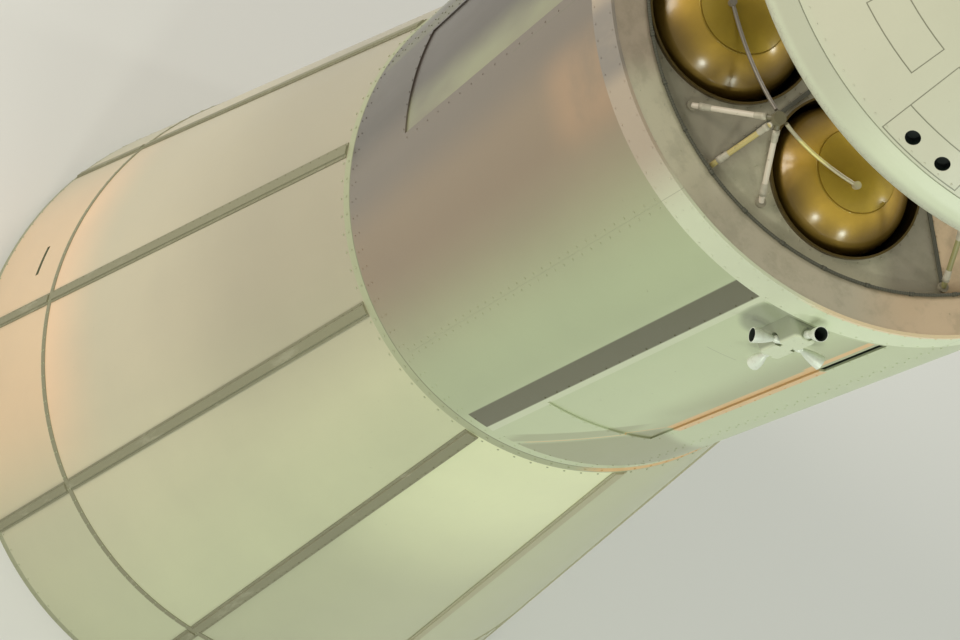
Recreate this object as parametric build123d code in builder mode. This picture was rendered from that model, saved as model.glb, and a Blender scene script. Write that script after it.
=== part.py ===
"""Crewed space capsule drawn forward of its service module, on the conical adapter that carries both.

The vehicle stands on the adapter's aft ring. Z runs forward along its axis, and azimuths are degrees from +X.
"""
from build123d import *
from math import cos, degrees, radians, sin, sqrt, tan
import os

# Adapter, in millimetres and degrees
ADAPTER_AFT_R = 3300
ADAPTER_H = 8530
ADAPTER_WALL = 43
AFT_RING_H = 110
AFT_RING_DEPTH = 170
RING_WEB = 22
SPLIT_Z = 2130
SPLIT_BAND_H = 90
FORWARD_RING_H = 100
FORWARD_RING_DEPTH = 150
GORE_COUNT = 10
FIRST_SEAM = 27
SEAM_GAP = 0.6
COVER_W = 120
COVER_CROWN_W = 66
COVER_BASE_T = 6
COVER_T = 18
COVER_END_GAP = 12
SKIN_CLEARANCE = 0.3

# Cable slots through the aft panels: first and last azimuth, bottom and top
CABLE_SLOTS = ((-58, -52, 1400, 1480),)

# Service module
MODULE_R = 1955
MODULE_H = 4832
MODULE_WALL = 26
BASE_RING_H = 110
AFT_DECK_T = 40
RIM_BAND_H = 266
RIM_BAND_T = 20
DECK_DROP = 162
DECK_T = 30
LEDGE_W = 287
LEDGE_STEP = 62
LEDGE_RISE = 96
LEDGE_T = 18
BEAM_CAP_W = 26
BEAM_CAP_T = 8
BEAM_CAP_INNER_R = 380

# Radial beams by azimuth, and the bays that start at each
BEAMS = (4, 64, 114, 184, 244, 294)

# Propellant tanks, and the beam that each one's pipe runs to:
# name, azimuth, distance in from the deck's edge, tank radius, crown radius, knuckle radius, pipe's beam
TANKS = (
    ("fuel_tank_near", 34, 608, 460, 560, 200, 4),
    ("oxidiser_tank_near", -31, 578, 510, 620, 220, 4),
    ("fuel_tank_far", 214, 608, 460, 560, 200, 184),
    ("oxidiser_tank_far", 149, 578, 510, 620, 220, 184),
)
TANK_GAP = 28
TANK_RISE = 200
TANK_WALL = 12
TANK_CAP_SHARE = 0.55
TANK_CAP_T = 9
TANK_LIP_T = 14
TANK_LIP_H = 26
TANK_LIP_DEPTH = 150

# Struts that carry the capsule, placed in from the deck's edge
APEX_INSET = 378
APEX_RISE = 372
APEX_PAD_R = 40
APEX_PAD_T = 40
FOOT_INSET = 50
SIDE_FOOT_INSET = 138
SIDE_FOOT_TURN = 13
STRUT_R = 17
FOOT_PAD_R = 32
FOOT_PAD_T = 22

# Pipes and harness on the deck
PIPE_R = 12
PIPE_ROOT_OUT = 115
PIPE_SAG = 45
PIPE_END_GAP = 2
PIPE_BOSS_R = 24
PIPE_BOSS_H = 34
HARNESS_TUBE_R = 10

# Attitude thrusters
QUAD_COUNT = 4
QUAD_AZIMUTH = 38.5
QUAD_DROP = 555
HOUSING_BASE = (300, 510)
HOUSING_TOP = (120, 490)
HOUSING_H = 84
HOUSING_CORNER = 36
NOZZLE_EXIT_R = 46
NOZZLE_CHAMBER_R = 24
NOZZLE_CHAMBER_L = 44
NOZZLE_THROAT_R = 16
NOZZLE_THROAT_AT = 60
NOZZLE_LENGTH = 200
NOZZLE_BULGE = 6
NOZZLE_WALL = 4
NOZZLE_CANT = 12
NOZZLE_HEIGHT = 50
NOZZLE_POCKET_R = 40

# A cluster's four nozzles: turn from the side nozzle, distance of its root from the cluster's middle
NOZZLES = (
    (0, 40),
    (90, 236),
    (180, 40),
    (270, 236),
)

# Panel that carries each cluster, set into its bay on a ledge, and the slot beside the first one
QUAD_PANEL_TURN = 2.1
QUAD_PANEL_SPAN = 24
QUAD_PANEL_DROP = 290
QUAD_PANEL_H = 3300
QUAD_PANEL_GAP = 3
QUAD_RECESS = 12
QUAD_LEDGE_W = 44
QUAD_LEDGE_T = 14
QUAD_SLOT_W = 30
QUAD_SLOT_H = 780

# Main engine
GIMBAL_DROP = 330
GIMBAL_RING_R = 470
GIMBAL_RING_T = 60
GIMBAL_RING_H = 110
GIMBAL_PIN_R = 30
PIN_CLEARANCE = 0.08
GIMBAL_SIDE_GAP = 12
EAR_T = 50
EAR_W = 150
MOUNT_PLATE_EDGE = 108
MOUNT_PLATE_T = 36
CHAMBER_R = 250
CHAMBER_TOP = 130
CHAMBER_BELOW = 330
THROAT_R = 160
THROAT_DROP = 560
BELL_EXIT_R = 1195
BELL_LENGTH = 2420
BELL_BULGE = 190
BELL_WALL = 22
BELL_RIM = 16

# Capsule
CAPSULE_GAP = 1715
CONE_ANGLE = 32.8
DISH_R = 4694
CORNER_R = 196
SHIELD_T = 80
SHIELD_TOP = 143
SHIELD_RIM_W = 270
CABIN_WALL = 120
SEAM_W = 6
SEAM_DEPTH = 16
CABIN_TOP = 1570
FLOOR_T = 40
ROOF_T = 40
COVER_WALL = 32
COVER_LIP_H = 20
TUNNEL_BORE_R = 380
TUNNEL_WALL = 24
TUNNEL_FOOT = 60
TUNNEL_FLANGE_W = 46
TUNNEL_FLANGE_T = 16
TUNNEL_SEAT_W = 14
DOCKING_RING_W = 42
DOCKING_RING_H = 118
COVER_LAND = 48
TUNNEL_HATCH_T = 50
TUNNEL_HATCH_DISH = 20

# Capsule side hatch and windows, their heights above the capsule's widest edge
HATCH_AZ = 51.25
HATCH_W = 740
HATCH_H = 860
HATCH_UP = 830
HATCH_CORNER = 110
HATCH_GAP = 8
HATCH_TAPER = 9
HINGE_LIFT = 3
HINGE_SIDE = 26
HINGE_PIN_R = 12
HINGE_EYE_R = 24
HINGE_ARM_L = 120
HINGE_ARM_W = 70
HINGE_ARM_SPACING = 460
HINGE_ARM_SINK = 10
HINGE_ARM_STEP = 6
HINGE_LUG_W = 30
HINGE_LUG_GAP = 6
HINGE_FOOT_W = 50
HINGE_FOOT_LIFT = 1

# Windows: azimuth from the hatch's middle, height above the edge, width, height
WINDOWS = (
    (-62, 1010, 330, 330),
    (62, 1010, 330, 330),
    (-32, 1300, 190, 300),
    (32, 1300, 190, 300),
)
HATCH_WINDOW = 250
WINDOW_CORNER = 60
PANE_SET_IN = 26
PANE_T = 14
PANE_CLEARANCE = 0.3

# Capsule thruster ports: azimuth from the hatch's middle, height above the edge
PORT_PAIRS = (
    (-31.9, 229),
    (31.9, 229),
    (-90, 229),
    (90, 229),
    (180, 229),
    (0, 1415),
)
PORT_R = 41
PORT_SPACING = 202
PORT_DEPTH = 70

# Cabin fittings
COUCH_COUNT = 3
COUCH_W = 520
COUCH_PITCH = 590
COUCH_T = 60
COUCH_UP = 420
COUCH_HEAD = 720
COUCH_HIP = -150
COUCH_KNEE = (-330, 850)
COUCH_FOOT = (-720, 700)
FRAME_BEAM = 80
FRAME_SPREAD = 640
FRAME_POST_SPREAD = 1100
PANEL_SIZE = (430, 1300)
PANEL_T = 90
PANEL_UP = 1260
PANEL_CORNER = 50
PANEL_POST = 70
PANEL_POST_SPREAD = 1060

# Heights worked out from the sizes above
RIM_Z = ADAPTER_H + MODULE_H
BAND_Z = RIM_Z - RIM_BAND_H
DECK_Z = RIM_Z - DECK_DROP
AFT_DECK_Z = ADAPTER_H + BASE_RING_H
EDGE_Z = RIM_Z + CAPSULE_GAP
FULL_TURN = 360
HALF_TURN = 180
QUARTER_TURN = 90
GORE_ANGLE = FULL_TURN / GORE_COUNT
ADAPTER_SLOPE = (ADAPTER_AFT_R - MODULE_R) / ADAPTER_H
DECK_EDGE_R = MODULE_R - LEDGE_W
APEX_R = DECK_EDGE_R - APEX_INSET
FOOT_R = DECK_EDGE_R - FOOT_INSET
SIDE_FOOT_R = DECK_EDGE_R - SIDE_FOOT_INSET
UPWARDS = (0, 0, 1)


def adapter_r(height):
    """Outer radius of the adapter's cone at a height."""
    return ADAPTER_AFT_R - ADAPTER_SLOPE * height


def on_circle(radius, azimuth, height=0):
    """Point at a distance from the vehicle's axis."""
    turn = radians(azimuth)
    return Vector(radius * cos(turn), radius * sin(turn), height)


def radial_plane(azimuth, centre=(0, 0, 0)):
    """Upright plane through an axis, sketch x outwards and sketch y upwards."""
    turn = radians(azimuth)
    return Plane(origin=centre, x_dir=(cos(turn), sin(turn), 0), z_dir=(sin(turn), -cos(turn), 0))


def wall_plane(azimuth, height, radius, lean):
    """Plane on a round wall, sketch x along the turn, sketch y up the wall, z straight out of it."""
    turn = radians(azimuth)
    tilt = radians(lean)
    outward = (cos(turn) * cos(tilt), sin(turn) * cos(tilt), sin(tilt))
    return Plane(origin=on_circle(radius, azimuth, height), x_dir=(-sin(turn), cos(turn), 0), z_dir=outward)


def capsule_r(up):
    """Outer radius of the capsule's cone at a height above its widest edge."""
    tilt = radians(CONE_ANGLE)
    tangent_r = MODULE_R - CORNER_R + CORNER_R * cos(tilt)
    return tangent_r - (up - CORNER_R * sin(tilt)) * tan(tilt)


def capsule_up(radius):
    """Height above the capsule's widest edge at which its cone has an outer radius."""
    return (capsule_r(0) - radius) / tan(radians(CONE_ANGLE))


def capsule_plane(azimuth, up, lift=0):
    """Plane on the capsule's cone, lifted off it by a distance."""
    return wall_plane(azimuth, EDGE_Z + up, capsule_r(up), CONE_ANGLE).offset(lift)


def dish_points(radius, corner, crown):
    """Tangent point and pole of a dished end, as (radius, rise) from the corner's centre line."""
    centre_drop = sqrt((crown - corner) ** 2 - (radius - corner) ** 2)
    reach = crown / (crown - corner)
    tangent = (reach * (radius - corner), reach * centre_drop - centre_drop)
    return centre_drop, tangent, crown - centre_drop


def rod(start, end, radius):
    """Round bar from one point to another, added to the part being built."""
    with Locations(Plane(origin=start, z_dir=end - start)):
        Cylinder(radius, (end - start).length, align=(Align.CENTER, Align.CENTER, Align.MIN))


os.makedirs("parts", exist_ok=True)


def keep(builder, label):
    """Name a finished piece and write it."""
    builder.part.label = label
    export_step(builder.part, f"parts/{label}.step")


# Adapter aft ring: an outer wall on the cone with a flange that stands on the floor
with BuildPart() as adapter_aft_ring:
    with BuildSketch(radial_plane(0)):
        Polygon(
            (ADAPTER_AFT_R, 0),
            (adapter_r(AFT_RING_H), AFT_RING_H),
            (adapter_r(AFT_RING_H) - ADAPTER_WALL, AFT_RING_H),
            (ADAPTER_AFT_R - ADAPTER_WALL, RING_WEB),
            (ADAPTER_AFT_R - AFT_RING_DEPTH, RING_WEB),
            (ADAPTER_AFT_R - AFT_RING_DEPTH, 0),
            align=None,
        )
    revolve(axis=Axis.Z)
keep(adapter_aft_ring, "adapter_aft_ring")


def build_gores(low, high, slots=()):
    """Ten curved panels of the adapter's cone between two heights, with slots cut through them."""
    gap = degrees(SEAM_GAP / adapter_r(high))
    with BuildPart() as gores:
        for gore in range(GORE_COUNT):
            with BuildSketch(radial_plane(FIRST_SEAM + gore * GORE_ANGLE + gap / 2)):
                Polygon(
                    (adapter_r(low), low),
                    (adapter_r(high), high),
                    (adapter_r(high) - ADAPTER_WALL, high),
                    (adapter_r(low) - ADAPTER_WALL, low),
                    align=None,
                )
            revolve(axis=Axis.Z, revolution_arc=GORE_ANGLE - gap)
        for first, last, bottom, top in slots:
            with BuildSketch(radial_plane(first)):
                Polygon(
                    (ADAPTER_AFT_R, bottom),
                    (ADAPTER_AFT_R, top),
                    (MODULE_R, top),
                    (MODULE_R, bottom),
                    align=None,
                )
            revolve(axis=Axis.Z, revolution_arc=last - first, mode=Mode.SUBTRACT)
    return gores


FORWARD_RING_Z = ADAPTER_H - FORWARD_RING_H
keep(build_gores(AFT_RING_H, SPLIT_Z, CABLE_SLOTS), "adapter_aft_skin")
keep(build_gores(SPLIT_Z + SEAM_GAP, FORWARD_RING_Z), "adapter_forward_skin")

# Band over the joint between the fixed aft skin and the forward panels
with BuildPart() as adapter_split_band:
    low = SPLIT_Z - SPLIT_BAND_H / 2
    high = SPLIT_Z + SPLIT_BAND_H / 2
    with BuildSketch(radial_plane(0)):
        Polygon(
            (adapter_r(low) + SKIN_CLEARANCE, low),
            (adapter_r(low) + COVER_BASE_T, low),
            (adapter_r(high) + COVER_BASE_T, high),
            (adapter_r(high) + SKIN_CLEARANCE, high),
            align=None,
        )
    revolve(axis=Axis.Z)
keep(adapter_split_band, "adapter_split_band")

# Raised covers along the ten seams, in an aft and a forward length
with BuildPart() as adapter_seam_covers:
    runs = (
        (AFT_RING_H, SPLIT_Z - SPLIT_BAND_H / 2 - COVER_END_GAP),
        (SPLIT_Z + SPLIT_BAND_H / 2 + COVER_END_GAP, FORWARD_RING_Z - COVER_END_GAP),
    )
    for gore in range(GORE_COUNT):
        azimuth = FIRST_SEAM + gore * GORE_ANGLE
        for low, high in runs:
            start = on_circle(adapter_r(low) + SKIN_CLEARANCE, azimuth, low)
            end = on_circle(adapter_r(high) + SKIN_CLEARANCE, azimuth, high)
            along = on_circle(1, azimuth + QUARTER_TURN)
            with BuildSketch(Plane(origin=start, x_dir=along, z_dir=end - start)):
                Polygon(
                    (-COVER_W / 2, 0),
                    (-COVER_W / 2, -COVER_BASE_T),
                    (-COVER_CROWN_W / 2 - COVER_BASE_T, -COVER_BASE_T),
                    (-COVER_CROWN_W / 2, -COVER_T),
                    (COVER_CROWN_W / 2, -COVER_T),
                    (COVER_CROWN_W / 2 + COVER_BASE_T, -COVER_BASE_T),
                    (COVER_W / 2, -COVER_BASE_T),
                    (COVER_W / 2, 0),
                    align=None,
                )
            extrude(amount=(end - start).length)
keep(adapter_seam_covers, "adapter_seam_covers")

# Adapter forward ring, which the service module stands on
with BuildPart() as adapter_forward_ring:
    with BuildSketch(radial_plane(0)):
        Polygon(
            (adapter_r(FORWARD_RING_Z), FORWARD_RING_Z),
            (MODULE_R, ADAPTER_H),
            (MODULE_R - FORWARD_RING_DEPTH, ADAPTER_H),
            (MODULE_R - FORWARD_RING_DEPTH, ADAPTER_H - RING_WEB),
            (MODULE_R - ADAPTER_WALL, ADAPTER_H - RING_WEB),
            (adapter_r(FORWARD_RING_Z) - ADAPTER_WALL, FORWARD_RING_Z),
            align=None,
        )
    revolve(axis=Axis.Z)
keep(adapter_forward_ring, "adapter_forward_ring")

# Service module base ring and aft deck
with BuildPart() as module_base_ring:
    with BuildSketch(radial_plane(0)):
        Polygon(
            (MODULE_R, ADAPTER_H),
            (MODULE_R, AFT_DECK_Z),
            (MODULE_R - FORWARD_RING_DEPTH, AFT_DECK_Z),
            (MODULE_R - FORWARD_RING_DEPTH, AFT_DECK_Z - RING_WEB),
            (MODULE_R - ADAPTER_WALL, AFT_DECK_Z - RING_WEB),
            (MODULE_R - ADAPTER_WALL, ADAPTER_H),
            align=None,
        )
    revolve(axis=Axis.Z)
keep(module_base_ring, "module_base_ring")

with BuildPart() as aft_deck:
    with BuildSketch(Plane.XY.offset(AFT_DECK_Z)):
        Circle(MODULE_R - MODULE_WALL - SKIN_CLEARANCE)
    extrude(amount=AFT_DECK_T)
keep(aft_deck, "aft_deck")

# Thruster panels: where each is set, and what is added to or cut from the bay panel round it
WALL_INNER_R = MODULE_R - MODULE_WALL
PANEL_TOP = RIM_Z - QUAD_PANEL_DROP
PANEL_BOTTOM = PANEL_TOP - QUAD_PANEL_H
LEDGE_INNER_R = WALL_INNER_R - QUAD_LEDGE_T
LEDGE_TURN = degrees(QUAD_LEDGE_W / MODULE_R)
SLOT_START = QUAD_AZIMUTH + QUAD_PANEL_TURN + QUAD_PANEL_SPAN / 2
SLOT_TURN = degrees(QUAD_SLOT_W / MODULE_R)
QUAD_AZIMUTHS = [QUAD_AZIMUTH + quad * FULL_TURN / QUAD_COUNT for quad in range(QUAD_COUNT)]
PANEL_STARTS = [azimuth + QUAD_PANEL_TURN - QUAD_PANEL_SPAN / 2 for azimuth in QUAD_AZIMUTHS]

# Mode, azimuth from the panel's edge, span, bottom, top, inner radius, outer radius
PANEL_SEAT = (
    (
        Mode.ADD,
        -LEDGE_TURN,
        QUAD_PANEL_SPAN + 2 * LEDGE_TURN,
        PANEL_BOTTOM - QUAD_LEDGE_W,
        PANEL_TOP + QUAD_LEDGE_W,
        LEDGE_INNER_R,
        WALL_INNER_R,
    ),
    (
        Mode.SUBTRACT,
        LEDGE_TURN,
        QUAD_PANEL_SPAN - 2 * LEDGE_TURN,
        PANEL_BOTTOM + QUAD_LEDGE_W,
        PANEL_TOP - QUAD_LEDGE_W,
        LEDGE_INNER_R,
        WALL_INNER_R,
    ),
    (Mode.SUBTRACT, 0, QUAD_PANEL_SPAN, PANEL_BOTTOM, PANEL_TOP, WALL_INNER_R, MODULE_R),
)

# Six curved bay panels between the radial beams, with a ledged opening for each thruster panel
BAY_ENDS = BEAMS[1:] + (BEAMS[0] + FULL_TURN,)
for number, (azimuth, bay_end) in enumerate(zip(BEAMS, BAY_ENDS)):
    gap = degrees(SEAM_GAP / MODULE_R)
    with BuildPart() as bay_panel:
        with BuildSketch(radial_plane(azimuth + gap / 2)):
            Polygon(
                (MODULE_R, AFT_DECK_Z),
                (MODULE_R, BAND_Z),
                (WALL_INNER_R, BAND_Z),
                (WALL_INNER_R, AFT_DECK_Z),
                align=None,
            )
        revolve(axis=Axis.Z, revolution_arc=bay_end - azimuth - gap)
        for panel_start in PANEL_STARTS:
            if azimuth < panel_start < bay_end:
                for mode, turn, span, low, high, inner, outer in PANEL_SEAT:
                    with BuildSketch(radial_plane(panel_start + turn)):
                        Polygon((outer, low), (outer, high), (inner, high), (inner, low), align=None)
                    revolve(axis=Axis.Z, revolution_arc=span, mode=mode)
        if azimuth < SLOT_START < bay_end:
            with BuildSketch(radial_plane(SLOT_START)):
                Polygon(
                    (MODULE_R, PANEL_TOP - QUAD_SLOT_H),
                    (MODULE_R, PANEL_TOP),
                    (LEDGE_INNER_R, PANEL_TOP),
                    (LEDGE_INNER_R, PANEL_TOP - QUAD_SLOT_H),
                    align=None,
                )
            revolve(axis=Axis.Z, revolution_arc=SLOT_TURN, mode=Mode.SUBTRACT)
    keep(bay_panel, f"bay_panel_{number + 1}")

# Thruster panels in their openings, set in from the wall
with BuildPart() as thruster_panels:
    gap = degrees(QUAD_PANEL_GAP / MODULE_R)
    inner = WALL_INNER_R + SKIN_CLEARANCE
    outer = MODULE_R - QUAD_RECESS
    low = PANEL_BOTTOM + QUAD_PANEL_GAP
    high = PANEL_TOP - QUAD_PANEL_GAP
    for panel_start in PANEL_STARTS:
        with BuildSketch(radial_plane(panel_start + gap)):
            Polygon((outer, low), (outer, high), (inner, high), (inner, low), align=None)
        revolve(axis=Axis.Z, revolution_arc=QUAD_PANEL_SPAN - 2 * gap)
keep(thruster_panels, "thruster_panels")

# White band round the module's forward rim
with BuildPart() as rim_band:
    with BuildSketch(radial_plane(0)):
        Polygon(
            (MODULE_R, BAND_Z),
            (MODULE_R, RIM_Z),
            (MODULE_R - RIM_BAND_T, RIM_Z),
            (MODULE_R - RIM_BAND_T, BAND_Z),
            align=None,
        )
    revolve(axis=Axis.Z)
keep(rim_band, "rim_band")

# Forward deck: a flat disc with a hole for each tank, and a stepped ledge that rises to the rim
with BuildPart() as forward_deck:
    with BuildSketch(Plane.XY.offset(DECK_Z - DECK_T)):
        Circle(DECK_EDGE_R)
        for name, azimuth, inset, radius, crown, knuckle, beam in TANKS:
            with Locations(on_circle(DECK_EDGE_R - inset, azimuth)):
                Circle(radius + TANK_GAP + TANK_LIP_T, mode=Mode.SUBTRACT)
    extrude(amount=DECK_T)
    with BuildSketch(radial_plane(0)):
        outer = MODULE_R - RIM_BAND_T - SKIN_CLEARANCE
        Polygon(
            (DECK_EDGE_R - LEDGE_T, DECK_Z - DECK_T),
            (DECK_EDGE_R - LEDGE_T, DECK_Z),
            (DECK_EDGE_R, DECK_Z),
            (DECK_EDGE_R, DECK_Z + LEDGE_STEP),
            (outer, DECK_Z + LEDGE_STEP + LEDGE_RISE),
            (outer, DECK_Z + LEDGE_STEP + LEDGE_RISE - LEDGE_T),
            (DECK_EDGE_R + LEDGE_T, DECK_Z + LEDGE_STEP - LEDGE_T),
            (DECK_EDGE_R + LEDGE_T, DECK_Z - DECK_T),
            align=None,
        )
    revolve(axis=Axis.Z)
keep(forward_deck, "forward_deck")

# Caps over the radial beams, on the deck
with BuildPart() as beam_caps:
    for azimuth in BEAMS:
        length = FOOT_R - FOOT_PAD_R - BEAM_CAP_INNER_R
        middle = BEAM_CAP_INNER_R + length / 2
        place = Plane(origin=on_circle(middle, azimuth, DECK_Z), x_dir=on_circle(1, azimuth), z_dir=UPWARDS)
        with BuildSketch(place):
            Rectangle(length, BEAM_CAP_W)
        extrude(amount=BEAM_CAP_T)
keep(beam_caps, "beam_caps")

# Tanks that stand on the aft deck, their lips in the forward deck and the caps on their domes
for name, azimuth, inset, radius, crown, knuckle, beam in TANKS:
    centre = on_circle(DECK_EDGE_R - inset, azimuth)
    tangent, pole = dish_points(radius, knuckle, crown)[1:]
    top = DECK_Z + TANK_RISE
    shoulder = top - pole
    bottom = AFT_DECK_Z + AFT_DECK_T
    inner_r = radius - TANK_WALL
    inner_knuckle = knuckle - TANK_WALL
    inner_crown = crown - TANK_WALL
    inner_tangent = dish_points(inner_r, inner_knuckle, inner_crown)[1]
    with BuildPart() as tank:
        with BuildSketch(radial_plane(azimuth, centre)):
            with BuildLine():
                knuckle_start = (radius, shoulder)
                outer_join = (tangent[0], shoulder + tangent[1])
                Line((radius, bottom), knuckle_start)
                RadiusArc(knuckle_start, outer_join, -knuckle)
                RadiusArc(outer_join, (0, top), -crown)
                Line((0, top), (0, top - TANK_WALL))
                inner_join = (inner_tangent[0], shoulder + inner_tangent[1])
                inner_start = (inner_r, shoulder)
                RadiusArc((0, top - TANK_WALL), inner_join, inner_crown)
                RadiusArc(inner_join, inner_start, inner_knuckle)
                Line(inner_start, (inner_r, bottom))
                Line((inner_r, bottom), (radius, bottom))
            make_face()
        revolve(axis=Axis(centre, UPWARDS))
    keep(tank, name)

with BuildPart() as tank_lips:
    for name, azimuth, inset, radius, crown, knuckle, beam in TANKS:
        centre = on_circle(DECK_EDGE_R - inset, azimuth)
        hole = radius + TANK_GAP
        with BuildSketch(radial_plane(azimuth, centre)):
            Polygon(
                (hole, DECK_Z - TANK_LIP_DEPTH),
                (hole, DECK_Z + TANK_LIP_H),
                (hole + TANK_LIP_T, DECK_Z + TANK_LIP_H),
                (hole + TANK_LIP_T, DECK_Z - TANK_LIP_DEPTH),
                align=None,
            )
        revolve(axis=Axis(centre, UPWARDS))
keep(tank_lips, "tank_lips")

with BuildPart() as tank_caps:
    for name, azimuth, inset, radius, crown, knuckle, beam in TANKS:
        centre = on_circle(DECK_EDGE_R - inset, azimuth)
        top = DECK_Z + TANK_RISE
        cap_r = radius * TANK_CAP_SHARE
        under = crown + SKIN_CLEARANCE
        over = under + TANK_CAP_T
        low_edge = top - crown + sqrt(under ** 2 - cap_r ** 2)
        high_edge = top - crown + sqrt(over ** 2 - cap_r ** 2)
        with BuildSketch(radial_plane(azimuth, centre)):
            with BuildLine():
                RadiusArc((cap_r, low_edge), (0, top + SKIN_CLEARANCE), -under)
                Line((0, top + SKIN_CLEARANCE), (0, top + SKIN_CLEARANCE + TANK_CAP_T))
                RadiusArc((0, top + SKIN_CLEARANCE + TANK_CAP_T), (cap_r, high_edge), over)
                Line((cap_r, high_edge), (cap_r, low_edge))
            make_face()
        revolve(axis=Axis(centre, UPWARDS))
keep(tank_caps, "tank_caps")

# Capsule struts: a radial strut on every beam, and a pair of side struts on every other one
APEX_Z = DECK_Z + APEX_RISE
for number, azimuth in enumerate(BEAMS):
    apex = on_circle(APEX_R, azimuth, APEX_Z)
    feet = [on_circle(FOOT_R, azimuth, DECK_Z)]
    if number % 2 == 0:
        for side in (-1, 1):
            feet.append(on_circle(SIDE_FOOT_R, azimuth + side * SIDE_FOOT_TURN, DECK_Z))
    with BuildPart() as strut_set:
        with BuildSketch(Plane(origin=apex, z_dir=UPWARDS)):
            Circle(APEX_PAD_R)
        extrude(amount=APEX_PAD_T / 2, both=True)
        for foot in feet:
            with BuildSketch(Plane(origin=foot, z_dir=UPWARDS)):
                Circle(FOOT_PAD_R)
            extrude(amount=FOOT_PAD_T)
            rod(foot + Vector(0, 0, STRUT_R), apex, STRUT_R)
    keep(strut_set, f"strut_set_{number + 1}")

# Pipes from the tank caps to the nearest strut apex
with BuildPart() as tank_pipes:
    for name, azimuth, inset, radius, crown, knuckle, beam in TANKS:
        ball_centre = on_circle(DECK_EDGE_R - inset, azimuth, DECK_Z + TANK_RISE - crown)
        ball_r = crown + TANK_CAP_T + 2 * SKIN_CLEARANCE
        ball_rise = sqrt(ball_r ** 2 - PIPE_ROOT_OUT ** 2)
        out_of_cap = on_circle(PIPE_ROOT_OUT, azimuth, ball_rise).normalized()
        start = ball_centre + out_of_cap * ball_r
        end = on_circle(APEX_R, beam, APEX_Z)
        reach = Vector(end.X - start.X, end.Y - start.Y, 0)
        share = 1 - (APEX_PAD_R + PIPE_R + PIPE_END_GAP) / reach.length
        stop = Vector(start.X + reach.X * share, start.Y + reach.Y * share, end.Z)
        middle = (start + stop) / 2 - Vector(0, 0, PIPE_SAG)
        with BuildSketch(Plane(origin=start, z_dir=out_of_cap)):
            Circle(PIPE_BOSS_R)
        extrude(amount=PIPE_BOSS_H)
        with BuildLine() as route:
            ThreePointArc(start + out_of_cap * PIPE_BOSS_H / 2, middle, stop)
        with BuildSketch(Plane(origin=route.line @ 0, z_dir=route.line % 0)):
            Circle(PIPE_R)
        sweep(path=route.line)
keep(tank_pipes, "tank_pipes")

# Harness ring on the ledge
with BuildPart() as harness_ring:
    ledge_lean = LEDGE_RISE / (MODULE_R - RIM_BAND_T - SKIN_CLEARANCE - DECK_EDGE_R)
    ledge_z = DECK_Z + LEDGE_STEP + ledge_lean * HARNESS_TUBE_R
    tube_lift = HARNESS_TUBE_R * sqrt(1 + ledge_lean ** 2) + SKIN_CLEARANCE
    with BuildSketch(radial_plane(0)):
        with Locations((DECK_EDGE_R + HARNESS_TUBE_R, ledge_z + tube_lift)):
            Circle(HARNESS_TUBE_R)
    revolve(axis=Axis.Z)
keep(harness_ring, "harness_ring")

# Four attitude thruster clusters, each a housing with a pocket for each of its four nozzles
QUAD_Z = RIM_Z - QUAD_DROP


def nozzle_axis(base, turn, distance):
    """Root point and heading of one nozzle on a housing's base plane."""
    cant = radians(NOZZLE_CANT)
    sideways = base.x_dir * cos(radians(turn)) + base.y_dir * sin(radians(turn))
    heading = sideways * cos(cant) + base.z_dir * sin(cant)
    return base.origin + base.z_dir * NOZZLE_HEIGHT + sideways * distance, heading


for number, azimuth in enumerate(QUAD_AZIMUTHS):
    base = wall_plane(azimuth, QUAD_Z, MODULE_R, 0)
    with BuildPart() as housing:
        with BuildSketch(base.offset(-MODULE_WALL)):
            RectangleRounded(*HOUSING_BASE, HOUSING_CORNER)
        with BuildSketch(base.offset(HOUSING_H)):
            RectangleRounded(*HOUSING_TOP, HOUSING_CORNER)
        loft()
        with BuildSketch(Plane.XY.offset(AFT_DECK_Z)):
            Circle(MODULE_R - QUAD_RECESS + SKIN_CLEARANCE)
        extrude(amount=MODULE_H, mode=Mode.SUBTRACT)
        for turn, distance in NOZZLES:
            root_point, heading = nozzle_axis(base, turn, distance)
            with BuildSketch(Plane(origin=root_point, z_dir=heading)):
                Circle(NOZZLE_POCKET_R)
            extrude(amount=NOZZLE_LENGTH, mode=Mode.SUBTRACT)
    keep(housing, f"thruster_housing_{number + 1}")
    with BuildPart() as nozzles:
        for turn, distance in NOZZLES:
            root_point, heading = nozzle_axis(base, turn, distance)
            across = heading.cross(base.z_dir).normalized()
            bell_r = (NOZZLE_THROAT_R + NOZZLE_EXIT_R) / 2 + NOZZLE_BULGE
            bell_at = (NOZZLE_THROAT_AT + NOZZLE_LENGTH) / 2
            with BuildSketch(Plane(origin=root_point, x_dir=across, z_dir=across.cross(heading))):
                with BuildLine():
                    Polyline(
                        (NOZZLE_THROAT_R - NOZZLE_WALL, NOZZLE_THROAT_AT),
                        (0, NOZZLE_THROAT_AT),
                        (0, 0),
                        (NOZZLE_CHAMBER_R, 0),
                        (NOZZLE_CHAMBER_R, NOZZLE_CHAMBER_L),
                        (NOZZLE_THROAT_R, NOZZLE_THROAT_AT),
                    )
                    ThreePointArc(
                        (NOZZLE_THROAT_R, NOZZLE_THROAT_AT),
                        (bell_r, bell_at),
                        (NOZZLE_EXIT_R, NOZZLE_LENGTH),
                    )
                    Line((NOZZLE_EXIT_R, NOZZLE_LENGTH), (NOZZLE_EXIT_R - NOZZLE_WALL, NOZZLE_LENGTH))
                    ThreePointArc(
                        (NOZZLE_EXIT_R - NOZZLE_WALL, NOZZLE_LENGTH),
                        (bell_r - NOZZLE_WALL, bell_at),
                        (NOZZLE_THROAT_R - NOZZLE_WALL, NOZZLE_THROAT_AT),
                    )
                make_face()
            revolve(axis=Axis(root_point, heading))
    keep(nozzles, f"thruster_nozzles_{number + 1}")

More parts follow.
